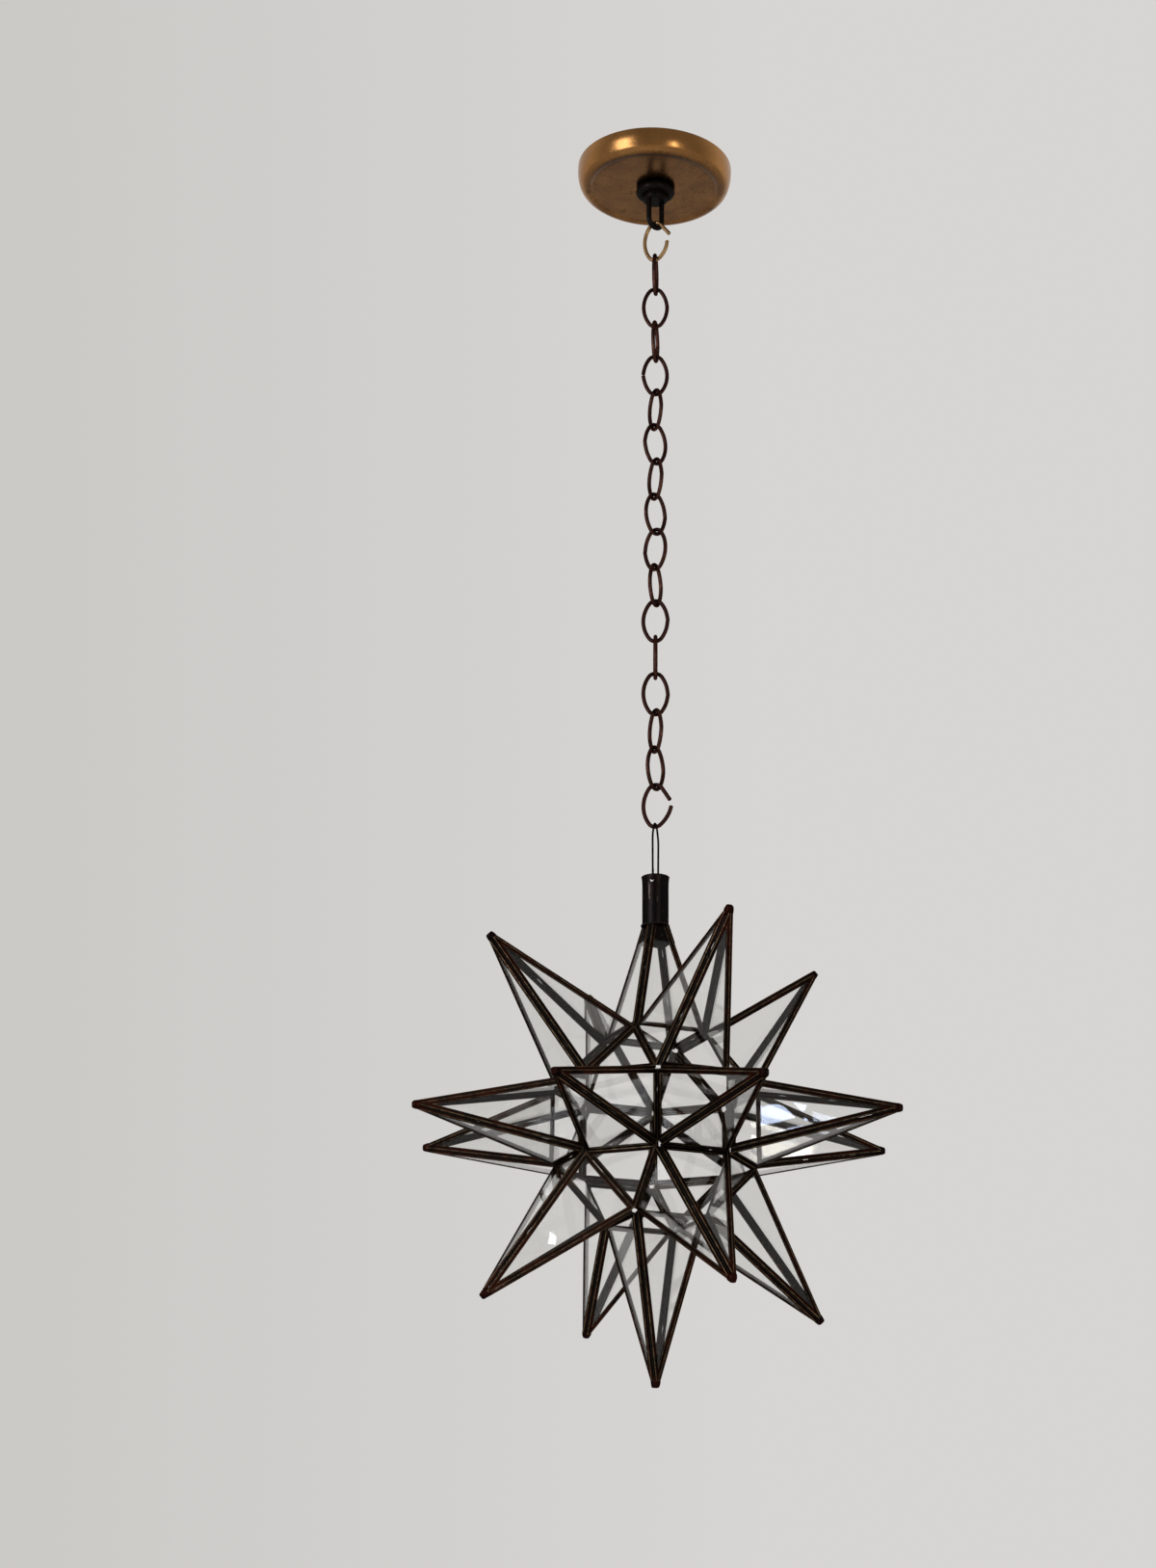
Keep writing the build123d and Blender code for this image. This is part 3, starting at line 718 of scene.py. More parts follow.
def canopy_skin(sizes):
    """Spun pan. The outer line is an upright rim, three arcs tangent to each other (wall,
    shoulder, step) and a straight recessed bottom; it is thickened inwards and turned about Z.
    The bottom is a little uneven, as spun sheet is. The pan leans, and its rim's highest point
    touches the ceiling."""
    radius = sizes.canopy_radius
    rim = np.array([[radius, 0.0], [radius, -1.5 * MM], [radius, -4.0 * MM]])
    wall, way = tangent_arc(rim[-1], (0, -1), (radius - 1.7 * MM, -13.8 * MM), 12)
    shoulder, way = tangent_arc(wall[-1], way, (radius - 6.2 * MM, -18.75 * MM), 14)
    step, way = tangent_arc(shoulder[-1], way, (radius - 12.5 * MM, -18.0 * MM), 10)
    share = np.linspace(0, 1, 16)[1:, None]
    bottom = step[-1] * (1 - share) + np.array([sizes.canopy_hole,
                                                -sizes.canopy_hole_depth]) * share
    outer = np.concatenate([rim, wall[1:], shoulder[1:], step[1:], bottom])
    points = turned_profile(sheet_profile(outer, sizes.canopy_sheet), 224)
    angle = np.arctan2(points[..., 1], points[..., 0]) / (2 * np.pi)
    reach = np.hypot(points[..., 0], points[..., 1]) / radius
    fade = np.clip(-points[..., 2] / (12 * MM), 0, 1)
    points[..., 2] += fade * np.sin(np.pi * reach) * waves(angle, 11) * 0.16 * MM
    lean = Matrix.Rotation(sizes.lean_right, 3, "Y") @ Matrix.Rotation(-sizes.lean_back, 3,
                                                                             "X")
    drop = radius * math.sqrt(1 - (math.cos(sizes.lean_right) * math.cos(sizes.lean_back)) ** 2)
    points = points @ np.array(lean).T + (sizes.canopy_shift, 0, -drop)
    rows = len(points)
    # Painted shade along the crease under the shoulder, strongest at the front and fading out
    # towards the back; the material darkens where this mask is high.
    past = np.arange(rows) - (len(outer) - len(bottom) - 3)
    crease = np.exp(-((past / np.where(past > 0, 2.6, 5.0)) ** 2))[:, None]
    crease = crease * np.clip(0.2 - 0.8 * np.sin(2 * np.pi * angle), 0.0, 1.0)
    return surface(points, wrap_rows=True, wrap_columns=True, wear=crease)


def collar_skin(sizes):
    """Turned ring: a half-round outside, a fine groove on its underside and a raised inner lip."""
    top, height, radius = sizes.collar_top, sizes.collar_height, sizes.collar_radius
    hole = sizes.boss_radius + 0.05 * MM
    upper = arc((radius - 2.2 * MM, top - 2.2 * MM), 2.2 * MM, 90, -90, 8)
    lower = arc((radius - 3.4 * MM, top - height + 3.4 * MM), 3.4 * MM, 0, -84, 12)
    groove = arc((radius - 4.0 * MM, top - height), 0.35 * MM, 20, 140, 6)
    lip = arc((hole + 1.6 * MM, top - height + 0.1 * MM), 0.6 * MM, -30, -120, 6)
    inner = np.array([[hole, top - height], [hole, top - 0.4 * height], [hole, top]])
    profile = np.concatenate([inner[::-1][:1], upper, lower, groove, lip, inner[:2]])
    return surface(turned_profile(profile, 128), wrap_rows=True, wrap_columns=True)


def loop_skin(sizes):
    """Turned boss with a blind hole, and a bar bent to a U whose legs enter it."""
    radius, bottom = sizes.boss_radius, sizes.boss_bottom
    top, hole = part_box("canopy_loop")[1].z, sizes.nipple_radius
    hole_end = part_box("threaded_nipple")[0].z
    edge = arc((radius - 2 * MM, bottom + 2 * MM), 2 * MM, 0, -90, 9)
    profile = np.concatenate([
        [[0.3 * MM, hole_end], [hole, hole_end], [hole, top - 0.3 * MM], [hole + 0.3 * MM, top]],
        [[radius - 0.3 * MM, top], [radius, top - 0.3 * MM], [radius, (top + bottom) / 2]],
        edge,
        [[0.55 * radius, bottom], [0.5 * radius, bottom], [0.3 * MM, bottom]],
    ])
    skin = Skin()
    skin.grid(turned_profile(profile, 96), wrap_columns=True, close_ends=True)
    turn, height = axis_turn("link_01_swing")
    half = sizes.loop_half_width
    root = bottom + 1.5 * MM - height - half
    flat = np.concatenate([[[-half, root]], arc((0, 0), half, 180, 180, 25), [[half, root]]])
    line, normal = hanging(turn, height + half, evenly(flat, 0.8 * MM))
    points, wear = wire(line, normal, sizes.loop_bar / 2, 20)
    skin.grid(points, wrap_columns=True, close_ends=True, wear=wear)
    return skin


def nipple_skin(sizes):
    """Threaded tube: the outer radius drops by a triangle wave of the thread's pitch that climbs
    one pitch in each turn, and fades out at the ends; the bore is plain."""
    low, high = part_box("threaded_nipple")[0].z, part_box("threaded_nipple")[1].z
    height = np.linspace(low, high, int((high - low) / sizes.thread_pitch * 8))
    angle = circle(48)
    phase = (height[:, None] / sizes.thread_pitch - angle[None] / (2 * np.pi)) % 1
    groove = 1 - np.abs(2 * phase - 1)
    fade = np.clip(np.minimum(height - low, high - height) / (0.8 * MM), 0, 1)[:, None]
    outer = sizes.nipple_radius - sizes.thread_depth * (groove * fade + (1 - fade))
    bore = np.full((2, 48), sizes.nipple_bore)
    radius = np.concatenate([outer, bore])
    level = np.concatenate([height, [high, low]])[:, None] + 0 * radius
    return surface(polar(radius, angle, level), wrap_rows=True, wrap_columns=True)


def nut_skin(sizes):
    """Hexagon nut: the radius at an angle is half the flats over the cosine of the angle from the
    nearest flat, held below the chamfer's cone near both faces."""
    low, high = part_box("strap_locknut")[0].z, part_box("strap_locknut")[1].z
    angle = circle(144)
    flat = sizes.nut_flats / 2 / np.cos((angle + np.pi / 6) % (np.pi / 3) - np.pi / 6)
    height = np.concatenate([np.linspace(low, low + 0.8 * MM, 4),
                             np.linspace(high - 0.8 * MM, high, 4)])
    from_face = np.minimum(height - low, high - height)[:, None]
    outer = np.minimum(flat[None], sizes.nut_flats / 2 + 0.1 * MM + from_face * 1.7)
    radius = np.concatenate([outer, np.full((2, 144), sizes.nipple_radius)])
    level = np.concatenate([height, [high, low]])[:, None] + 0 * radius
    return surface(polar(radius, angle, level), wrap_rows=True, wrap_columns=True)


# ---------------------------------------------------------------- chain and hanger
def link_arcs(sizes, node):
    """Radius of a link's long sides, the height of its end arcs' centres, and half the sides'
    sweep."""
    low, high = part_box(node)
    half_height = (high.z - low.z - sizes.wire) / 2
    rise = half_height - sizes.end_radius
    width = sizes.half_width
    side = (width**2 + rise**2 - sizes.end_radius**2) / (2 * (width - sizes.end_radius))
    return side, rise, math.degrees(math.atan2(rise, side - width))


def closed_link(sizes, node, gap, seed):
    """Oval of two end arcs and two side arcs. The cut is in the right side, and the wire's ends
    there stand out a little, unequally, as ends do that were bent by hand."""
    side, rise, half = link_arcs(sizes, node)
    far = side - sizes.half_width
    lift = math.degrees(gap / 2 / side)
    flat = np.concatenate([
        arc((-far, 0), side, -lift, -(half - lift), 20),
        arc((0, -rise), sizes.end_radius, -half, -(180 - 2 * half), 22)[1:],
        arc((far, 0), side, 180 + half, -2 * half, 40)[1:],
        arc((0, rise), sizes.end_radius, 180 - half, -(180 - 2 * half), 22)[1:],
        arc((-far, 0), side, half, -(half - lift), 20)[1:],
    ])
    flat = evenly(flat, 0.9 * MM)
    run = np.linspace(0, 1, len(flat))
    chance = np.random.default_rng(seed)
    first, last = chance.uniform(0.05, 0.32, 2) * MM
    flat[:, 0] += first * np.exp(-(run / 0.03) ** 2) + last * np.exp(-((1 - run) / 0.03) ** 2)
    flat[:, 0] += 0.12 * MM * waves(run, seed, 3) * np.sin(np.pi * run) ** 2
    return flat


def open_link(sizes, node, upper_end, lower_end):
    """The same oval with its right side pulled open: the upper end is straight, the lower end
    bowed."""
    side, rise, half = link_arcs(sizes, node)
    ring = sizes.end_radius
    reach = np.array(upper_end) * MM - (0, rise)
    leave = math.degrees(math.atan2(reach[1], reach[0]) + math.acos(ring / np.linalg.norm(reach)))
    bow_start = -50.0
    bottom = arc((0, -rise), ring, bow_start, -(180 - half + bow_start), 22)
    start = math.radians(bow_start)
    bow, _ = tangent_arc(bottom[0], (-math.sin(start), math.cos(start)), np.array(lower_end) * MM,
                         14)
    top = arc((0, rise), ring, 180 - half, -(180 - half - leave), 22)
    flat = np.concatenate([
        bow[::-1], bottom[1:], arc((side - sizes.half_width, 0), side, 180 + half, -2 * half,
                                   40)[1:],
        top[1:], [np.array(upper_end) * MM],
    ])
    return evenly(flat, 0.9 * MM)


def link_skin(sizes, number):
    """Round wire along the link's line, stood upright at the link's place and turn, with cut
    ends."""
    node = f"chain_link_{number:02d}"
    if number == 1:
        flat = open_link(sizes, node, (12.5, 4.5), (10.5, -1.9))
    elif number == LINK_COUNT:
        flat = open_link(sizes, node, (11.5, 4.0), (12.5, -1.2))
    else:
        flat = closed_link(sizes, node, sizes.sprung_gap if number == SPRUNG_LINK
                           else sizes.butt_gap, number)
    below = f"link_{number + 1:02d}_swing" if number < LINK_COUNT else "hanger_swing"
    turn, _ = axis_turn(below)
    if number in LEFT_JOINT_LINKS:
        turn += 180
    line, normal = hanging(turn, middle_height(node), flat)
    bevel = (0.25 if number in (1, LINK_COUNT) else 0.03) * MM
    points, wear = wire(line, normal, sizes.wire / 2, sizes.wire_sides, end_round=bevel)
    return surface(points, wrap_columns=True, close_ends=True, wear=wear)


def hanger_skin(sizes):
    """Thin wire hoop: an arch over the last link, two legs, the far one bowed, and two feet turned
    outwards into the tube. The wire's cut end lies against the near leg."""
    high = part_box("hanger_wire")[1]
    turn, foot_height = axis_turn("star_swing")
    radius = sizes.hanger_wire / 2
    arch_height = high.z - 0.72 * MM - sizes.hanger_arch
    arch_end = 25.0
    arch = arc((0, 0), sizes.hanger_arch, arch_end, 180 - 2 * arch_end, 20)
    slope = math.tan(math.radians(90 - arch_end))
    foot = foot_height - arch_height
    sides = []
    for widest in (sizes.hanger_widest, sizes.hanger_widest - 0.35 * MM):
        shoulder = (widest, arch[0][1] - (widest - arch[0][0]) * slope)
        corners = [(sizes.hanger_foot, foot), (sizes.hanger_leg, foot), shoulder, tuple(arch[0])]
        sides.append(rounded_line(corners, [1.3 * MM, 20 * MM], 12))
    far, near = sides
    flat = evenly(np.concatenate([far, arch[1:-1], near[::-1] * (-1, 1)]), 0.7 * MM)
    line, normal = hanging(turn, arch_height, flat)
    points, wear = wire(line, normal, radius, 12, end_round=0.12 * MM)
    skin = Skin()
    skin.grid(points, wrap_columns=True, close_ends=True, wear=wear)
    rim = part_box("cap_tube")[1].z
    beside = 1.15 * MM - sizes.hanger_leg
    end = np.array([[beside, rim - 3 * MM], [beside, rim + 2 * MM],
                    [beside + 0.25 * MM, rim + 4 * MM],
                    [beside - 0.1 * MM, rim + 5.4 * MM]])
    line, normal = hanging(turn, 0.0, evenly(end, 0.5 * MM))
    points, wear = wire(line, normal, 0.55 * MM, 10, end_round=0.12 * MM)
    skin.grid(points, wrap_columns=True, close_ends=True, wear=wear)
    return skin


# ---------------------------------------------------------------- tube and boot
def tube_skin(sizes):
    """Thin tube. The wall is a grid of angle and height. Round each foot hole a square window of
    the grid is left out, and rings of points lead from the window's edge to the hole's circle;
    the outer wall, the hole's wall and the inner wall join there. The wall flares towards its
    rounded rim: the radius grows by a share of the bead that falls off as e to the minus depth
    over 2.2 mm."""
    low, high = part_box("cap_tube")[0].z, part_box("cap_tube")[1].z
    turn, _ = axis_turn("star_swing")
    bead = sizes.tube_bead
    half_wall = sizes.tube_wall / 2
    roll = arc((sizes.tube_radius - half_wall, high - half_wall), half_wall, 0, 180, 10)
    inner_radius = sizes.tube_radius - sizes.tube_wall
    skin = Skin()
    angle = circle(128) + math.radians(90 - turn - 90)
    rows = np.linspace(low, high - 2 * bead, 50)
    hole_row = int(np.argmin(np.abs(rows - hole_height(sizes))))
    reach = 3
    for radius in (sizes.tube_radius, inner_radius):
        cut_wall(skin, radius, angle, rows, hole_row, reach, sizes)
    for side in (0, 64):
        hole_wall(skin, sizes, angle[side])
    rise = np.linspace(high - 2 * bead, high - half_wall, 5)[:-1, None]
    lip = np.concatenate([np.hstack([rise * 0 + sizes.tube_radius, rise]), roll,
                          np.hstack([rise * 0 + inner_radius, rise])[::-1]])
    profile = turned_profile(lip, 128)
    spin = math.radians(-turn)
    turned = np.stack([profile[..., 0] * math.cos(spin) - profile[..., 1] * math.sin(spin),
                       profile[..., 0] * math.sin(spin) + profile[..., 1] * math.cos(spin),
                       profile[..., 2]], 2)
    skin.grid(turned, wrap_columns=True, wear=np.linspace(0, 1, len(lip))[:, None] * 0.6)
    foot = np.stack([np.stack([r * np.cos(angle), r * np.sin(angle), np.full(128, low)], 1)
                     for r in (sizes.tube_radius, inner_radius)])
    skin.grid(foot, wrap_columns=True)
    for points in skin.points:
        flare = 0.8 * bead * np.exp((points[:, 2:] - high) / (2.2 * MM)) / sizes.tube_radius
        points[:, :2] *= 1 + flare
    return skin


def hole_height(sizes):
    """Height of the tube's foot holes. The star hangs with the holes' upper side on the hanger's
    feet."""
    return axis_turn("star_swing")[1] - (sizes.tube_hole - FOOT_RADIUS - FOOT_PLAY)


def hole_circle(sizes, centre_angle, count):
    """A foot hole's circle unrolled on the tube, as angles and heights, from its lower corner
    on."""
    around = np.linspace(-np.pi / 4, 2 * np.pi - np.pi / 4, count, endpoint=False)
    return (centre_angle + sizes.tube_hole * np.cos(around) / sizes.tube_radius,
            hole_height(sizes) + sizes.tube_hole * np.sin(around))


def cut_wall(skin, radius, angle, rows, hole_row, reach, sizes):
    """One face of the tube's wall, as strips between the windows, and a ring of faces in each
    window from its square edge to the hole's circle."""
    grid_angle, grid_height = np.meshgrid(angle, rows)
    points = polar(radius, grid_angle, grid_height)
    count = len(angle)
    keep_low, keep_high = hole_row - reach, hole_row + reach
    skin.grid(points[:keep_low + 1], wrap_columns=True)
    skin.grid(points[keep_high:], wrap_columns=True)
    for start, stop in ((reach, count // 2 - reach), (count // 2 + reach, count - reach)):
        skin.grid(points[keep_low:keep_high + 1, start:stop + 1])
    for middle in (0, count // 2):
        columns = np.arange(middle - reach, middle + reach + 1)
        square_angle = angle[middle] + (columns - middle) * (angle[1] - angle[0])
        square_height = rows[keep_low:keep_high + 1]
        n = 2 * reach
        edge_a = np.concatenate([np.full(n, square_angle[-1]), square_angle[::-1][:n],
                                 np.full(n, square_angle[0]),
                                 square_angle[:n]])
        edge_h = np.concatenate([square_height[:n], np.full(n, square_height[-1]),
                                 square_height[::-1][:n],
                                 np.full(n, square_height[0])])
        rim_a, rim_h = hole_circle(sizes, angle[middle], 4 * n)
        share = np.linspace(0, 1, 4)[:, None]
        skin.grid(polar(radius, edge_a * (1 - share) + rim_a * share,
                        edge_h * (1 - share) + rim_h * share),
                  wrap_columns=True)


def hole_wall(skin, sizes, centre_angle):
    """The wall of one drilled hole, from the tube's outer face to its inner face."""
    angle, height = hole_circle(sizes, centre_angle, 24)
    radii = (sizes.tube_radius, sizes.tube_radius - sizes.tube_wall)
    skin.grid(np.stack([polar(radius, angle, height) for radius in radii]), wrap_columns=True)


def face_distance(sizes):
    """From the star's middle to the base square of a point."""
    return sizes.core_edge * (1 + math.sqrt(2)) / 2


def top_half_width(sizes, height, grow):
    """Half the width of the top point's pyramid at a height, moved outwards by grow."""
    base = sizes.core_edge / 2
    square_distance = face_distance(sizes)
    lean = math.atan2(base, sizes.top_apex_radius - square_distance)
    return (sizes.top_apex_radius - (height
                                     - star_centre()[2])) * math.tan(lean) + grow / math.cos(lean)


def rounded_square(half, power, count=64):
    """Outline of a square with round corners: the curve on which the two coordinates, each
    raised to a power, add up to one. A higher power gives sharper corners."""
    angle = circle(count) + np.pi / count
    cosine, sine = np.cos(angle), np.sin(angle)
    size = (np.abs(cosine) ** power + np.abs(sine) ** power) ** (-1 / power)
    return np.stack([cosine, sine], 1) * size[:, None] * half


def boot_skin(sizes):
    """Sheet apron: a four-sided skirt that lies between the top point's cames, with its lower
    edge curved in the middle of each side, bent in at the top to a flat plate with a round hole."""
    low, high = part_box("cap_boot")[0].z + 1.6 * MM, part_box("cap_boot")[1].z
    sheet = sizes.boot_sheet
    half_came = sizes.came_height / 2 - sheet - 0.2 * MM
    spin = math.radians(FIRST_AZIMUTH)
    turn = np.array([[math.cos(spin), math.sin(spin)], [-math.sin(spin), math.cos(spin)]])
    angle = circle(64) + np.pi / 64
    sideways = np.abs(((angle + np.pi / 4) % (np.pi / 2)) / (np.pi / 4) - 1)
    edge = low + 0.6 * MM + 0.8 * MM * (1 - sideways**2) + 0.3 * MM * (1
                                                                       + waves(angle / (2 * np.pi),
                                                                               5))

    def skirt(grow, top, steps):
        share = np.linspace(0, 1, steps)[:, None]
        height = edge[None] * (1 - share) + top * share
        half = top_half_width(sizes, height, grow)
        return np.concatenate([rounded_square(1.0, BOOT_CORNERS)[None] @ turn * half[..., None],
                               height[..., None]], 2)

    def plate(height, half, steps):
        share = np.linspace(0, 1, steps)[:, None, None]
        ring = np.stack([np.cos(angle), np.sin(angle)], 1) @ turn * sizes.boot_hole
        flat = rounded_square(half, BOOT_CORNERS) @ turn * (1 - share) + ring * share
        return np.concatenate([flat, np.full((*flat.shape[:2], 1), height)], 2)

    outer = skirt(half_came + sheet, high - 0.35 * MM, 8)
    top = plate(high, top_half_width(sizes, high, half_came + sheet) - 0.35 * MM, 5)
    under = plate(high - sheet, top_half_width(sizes, high - sheet, half_came), 5)[::-1]
    inner = skirt(half_came, high - sheet - 0.1 * MM, 8)[::-1]
    return surface(np.concatenate([outer, top, under, inner]), wrap_rows=True, wrap_columns=True)


def seam_bead(sizes, seed):
    """Uneven ring of solder where the tube stands on the boot: a small circle carried round the
    tube, its radius uneven."""
    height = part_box("cap_tube")[0].z
    angle, around = circle(72), circle(10)
    size = (0.85 + 0.3 * waves(angle / (2 * np.pi), seed, 8)) * MM
    radius = sizes.tube_radius + 0.1 * MM + size[:, None] * np.cos(around)
    level = height + 0.35 * MM + size[:, None] * np.sin(around)
    return np.stack([radius * np.cos(angle)[:, None], radius * np.sin(angle)[:, None], level], 2)


# ---------------------------------------------------------------- star
class Pane:
    """A flat pane: the middle of its base edge, its rise and outward normal, its height, the
    insets of its came from the base and from the sides, and where its tip is cut."""

    def __init__(self, middle, apex, normal, base_inset, side_inset, reach, edge):
        self.middle, self.apex, self.normal = middle, apex, normal
        self.height = np.linalg.norm(apex - middle)
        self.rise = (apex - middle) / self.height
        self.along = np.cross(self.rise, normal)
        self.base_inset, self.side_inset, self.reach = base_inset, side_inset, reach
        self.half_edge = edge / 2

    def corners(self, inset):
        """Corners of the outline taken in by each inset: base left, base right, tip right, tip
        left. The sides lean by the slope of half the base over the height."""
        slope = self.half_edge / self.height
        side = (self.side_inset + inset) * math.hypot(1, slope)
        base = self.base_inset + inset
        low = (self.height - base) * slope - side
        top = np.minimum(self.reach, self.height - side / slope)
        high = np.maximum((self.height - top) * slope - side, 0)
        return [np.stack(pair, 1) for pair in ((-low, base), (low, base), (high, top),
                                               (-high, top))]

    def place(self, across, up_pane, out):
        return (self.middle + across[..., None] * self.along + up_pane[..., None] * self.rise
                + out[..., None] * self.normal)

    def edges(self):
        """The three edges: start, end, the direction into the pane, and the came's inset."""
        left, right = (self.middle + self.along * self.half_edge * sign for sign in (-1, 1))
        found = [(left, right, self.rise, self.base_inset)]
        for corner in (left, right):
            run = (self.apex - corner) / np.linalg.norm(self.apex - corner)
            inward = (self.middle - corner) - run * ((self.middle - corner) @ run)
            found.append((corner, self.apex, inward / np.linalg.norm(inward), self.side_inset))
        return found


def point_slope(sizes, apex):
    """Angle between a point's panes and its base, in radians."""
    square_distance = face_distance(sizes)
    return math.atan2(apex - square_distance, sizes.core_edge / 2)


def inset_between(sizes, angle):
    """How far two cames that meet at an angle stop short of the line where their panes meet."""
    return sizes.came_height / 2 / math.tan(angle / 2) + sizes.seam_gap / 2


def ridge_inset(sizes, apex):
    slope = point_slope(sizes, apex)
    return inset_between(sizes, math.pi - math.acos(math.cos(slope) ** 2))


def point_panes(sizes, axis, first, insets, apex, reach_radius):
    """The four panes of one point, going round from the side that first points to."""
    square_distance = face_distance(sizes)
    lean = math.pi / 2 - point_slope(sizes, apex)
    second = np.cross(axis, first)
    centre = star_centre()
    half_came = sizes.came_height / 2
    made = []
    for across, inset in zip((first, second, -first, -second), insets):
        middle = centre + axis * square_distance + across * sizes.core_edge / 2
        normal = across * math.cos(lean) + axis * math.sin(lean)
        reach = (reach_radius - square_distance) / math.cos(lean) - half_came * math.tan(lean)
        made.append(Pane(middle, centre + axis * apex, normal, inset, ridge_inset(sizes, apex),
                         reach,
                         sizes.core_edge))
    return made


def star_points(sizes):
    """Every point's panes and its axis, by name. Points stand on the eighteen square faces of
    the core, a rhombicuboctahedron; where a pane's base borders a small flat triangle, its inset
    differs."""
    slope = point_slope(sizes, sizes.apex_radius)
    valley = inset_between(sizes, 2 * math.pi - math.radians(135) - 2 * slope)
    square_to_triangle = math.pi - math.acos(math.sqrt(2 / 3))
    corner = inset_between(sizes, 2 * math.pi - square_to_triangle - slope)
    blunt = sizes.tip_radius - sizes.cap_length
    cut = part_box("cap_boot")[1].z - sizes.boot_sheet - 0.2 * MM - star_centre()[2]
    front = outwards(FIRST_AZIMUTH)
    plain, top_and_sides, sides_first = (valley,) * 4, (valley, corner) * 2, (corner, valley) * 2
    made = {
        "top": (UP, front, point_panes(sizes, UP, front, plain, sizes.top_apex_radius, cut)),
        "bottom": (-UP, front, point_panes(sizes, -UP, front, plain, sizes.apex_radius, blunt)),
    }
    for quarter in range(4):
        side = outwards(FIRST_AZIMUTH + 90 * quarter)
        for level, name in ((1, "upper"), (-1, "lower")):
            axis = (side + UP * level) / math.sqrt(2)
            first = (UP * level - side) / math.sqrt(2)
            panes = point_panes(sizes, axis, first, top_and_sides, sizes.apex_radius, blunt)
            made[f"{name}_{quarter + 1}"] = (axis, first, panes)
    for eighth in range(8):
        axis = outwards(FIRST_AZIMUTH + 45 * eighth)
        insets = plain if eighth % 2 == 0 else sides_first
        made[f"belt_{eighth + 1}"] = (axis, UP,
                                      point_panes(sizes, axis, UP, insets, sizes.apex_radius,
                                                  blunt))
    return made


def corner_panes(sizes):
    """The eight flat triangles between the points."""
    edge = sizes.core_edge
    inset = inset_between(sizes, 2 * math.pi - (math.pi - math.acos(math.sqrt(2 / 3)))
                          - point_slope(sizes, sizes.apex_radius))
    ring = edge / (2 * math.sin(math.radians(22.5)))
    made = []
    for level in (1, -1):
        for quarter in range(4):
            azimuth = 67.5 + 90 * quarter
            left = outwards(azimuth - 22.5) * ring + UP * level * edge / 2
            right = outwards(azimuth + 22.5) * ring + UP * level * edge / 2
            tip = outwards(azimuth) * edge / math.sqrt(2) + UP * level * edge * (1
                                                                                 + math.sqrt(2)) / 2
            normal = (left + right + tip) / np.linalg.norm(left + right + tip)
            height = edge * math.sqrt(3) / 2
            made.append(Pane(star_centre() + (left + right) / 2, star_centre() + tip, normal, inset,
                             inset,
                             height, edge))
    return made


def came_profile(sizes):
    """Half the came's U section, as insets from its back and heights over the pane's middle: a
    rounded back corner, a leg that is slightly crowned, a fine raised inner edge, and the slot's
    wall. The other half mirrors it. The mask of edge rubbing and painted highlight is highest on
    the back corner and the raised edge."""
    half, width = sizes.came_height / 2, sizes.came_width
    lip, slot = sizes.came_lip, sizes.glass / 2
    shape = np.array([
        (0.0, 0.0, 0.0), (0.0, 0.74, 0.1), (0.02, 0.87, 0.7), (0.06, 0.95, 1.0), (0.11, 0.985, 0.8),
        (0.2, 1.0, 0.1), (0.4, 0.99, 0.0), (0.6, 0.965, 0.0), (0.8, 0.94, 0.0), (0.88, 0.96, 0.2),
        (0.94, 0.96, 0.6), (0.98, 0.89, 0.3), (1.0, slot / half, 0.0),
        (lip / width, slot / half, 0.0),
        (lip / width, 0.0, 0.0),
    ])
    upper = shape * (width, half, 1.0)
    lower = upper[1:-1][::-1] * (1, -1, 1)
    return np.concatenate([upper, lower])


def came_ring(sizes, pane, seed):
    """The came round one pane. Each point of the section has its own inset outline, so that the
    strip keeps its width and its corners are mitred. Stations run along the base, up the right
    side, across the blunt tip and down the left side. Width and height are a little uneven along
    the strip."""
    section = came_profile(sizes)
    inset, height, wear = section.T
    base_left, base_right, tip_right, tip_left = pane.corners(inset)
    base = np.linspace(0, 1, 15)[:, None, None]
    side = np.linspace(0, 1, 32)[:, None, None]
    flat = np.concatenate([
        base_left * (1 - base) + base_right * base,
        (base_right * (1 - side) + tip_right * side)[1:],
        (tip_left * (1 - side) + base_left * side)[:-1],
    ])
    run = np.linspace(0, 1, len(flat))
    swell = 1 + 0.035 * waves(run, seed, 9)
    points = pane.place(flat[..., 0], flat[..., 1], height[None] * swell[:, None])
    # The mask of edge rubbing and painted highlight, a little uneven along the strip.
    worn_and_highlight = wear[None] * (0.75 + 0.25 * waves(run, seed + 1, 7))[:, None]
    return points, np.clip(worn_and_highlight, 0, 1)


def cames_skin(sizes, panes, seed):
    skin = Skin()
    for number, pane in enumerate(panes):
        points, wear = came_ring(sizes, pane, seed + 10 * number)
        skin.grid(drift(points, 0.09 * MM, 0.05, 3), wrap_rows=True, wrap_columns=True, wear=wear)
    return skin


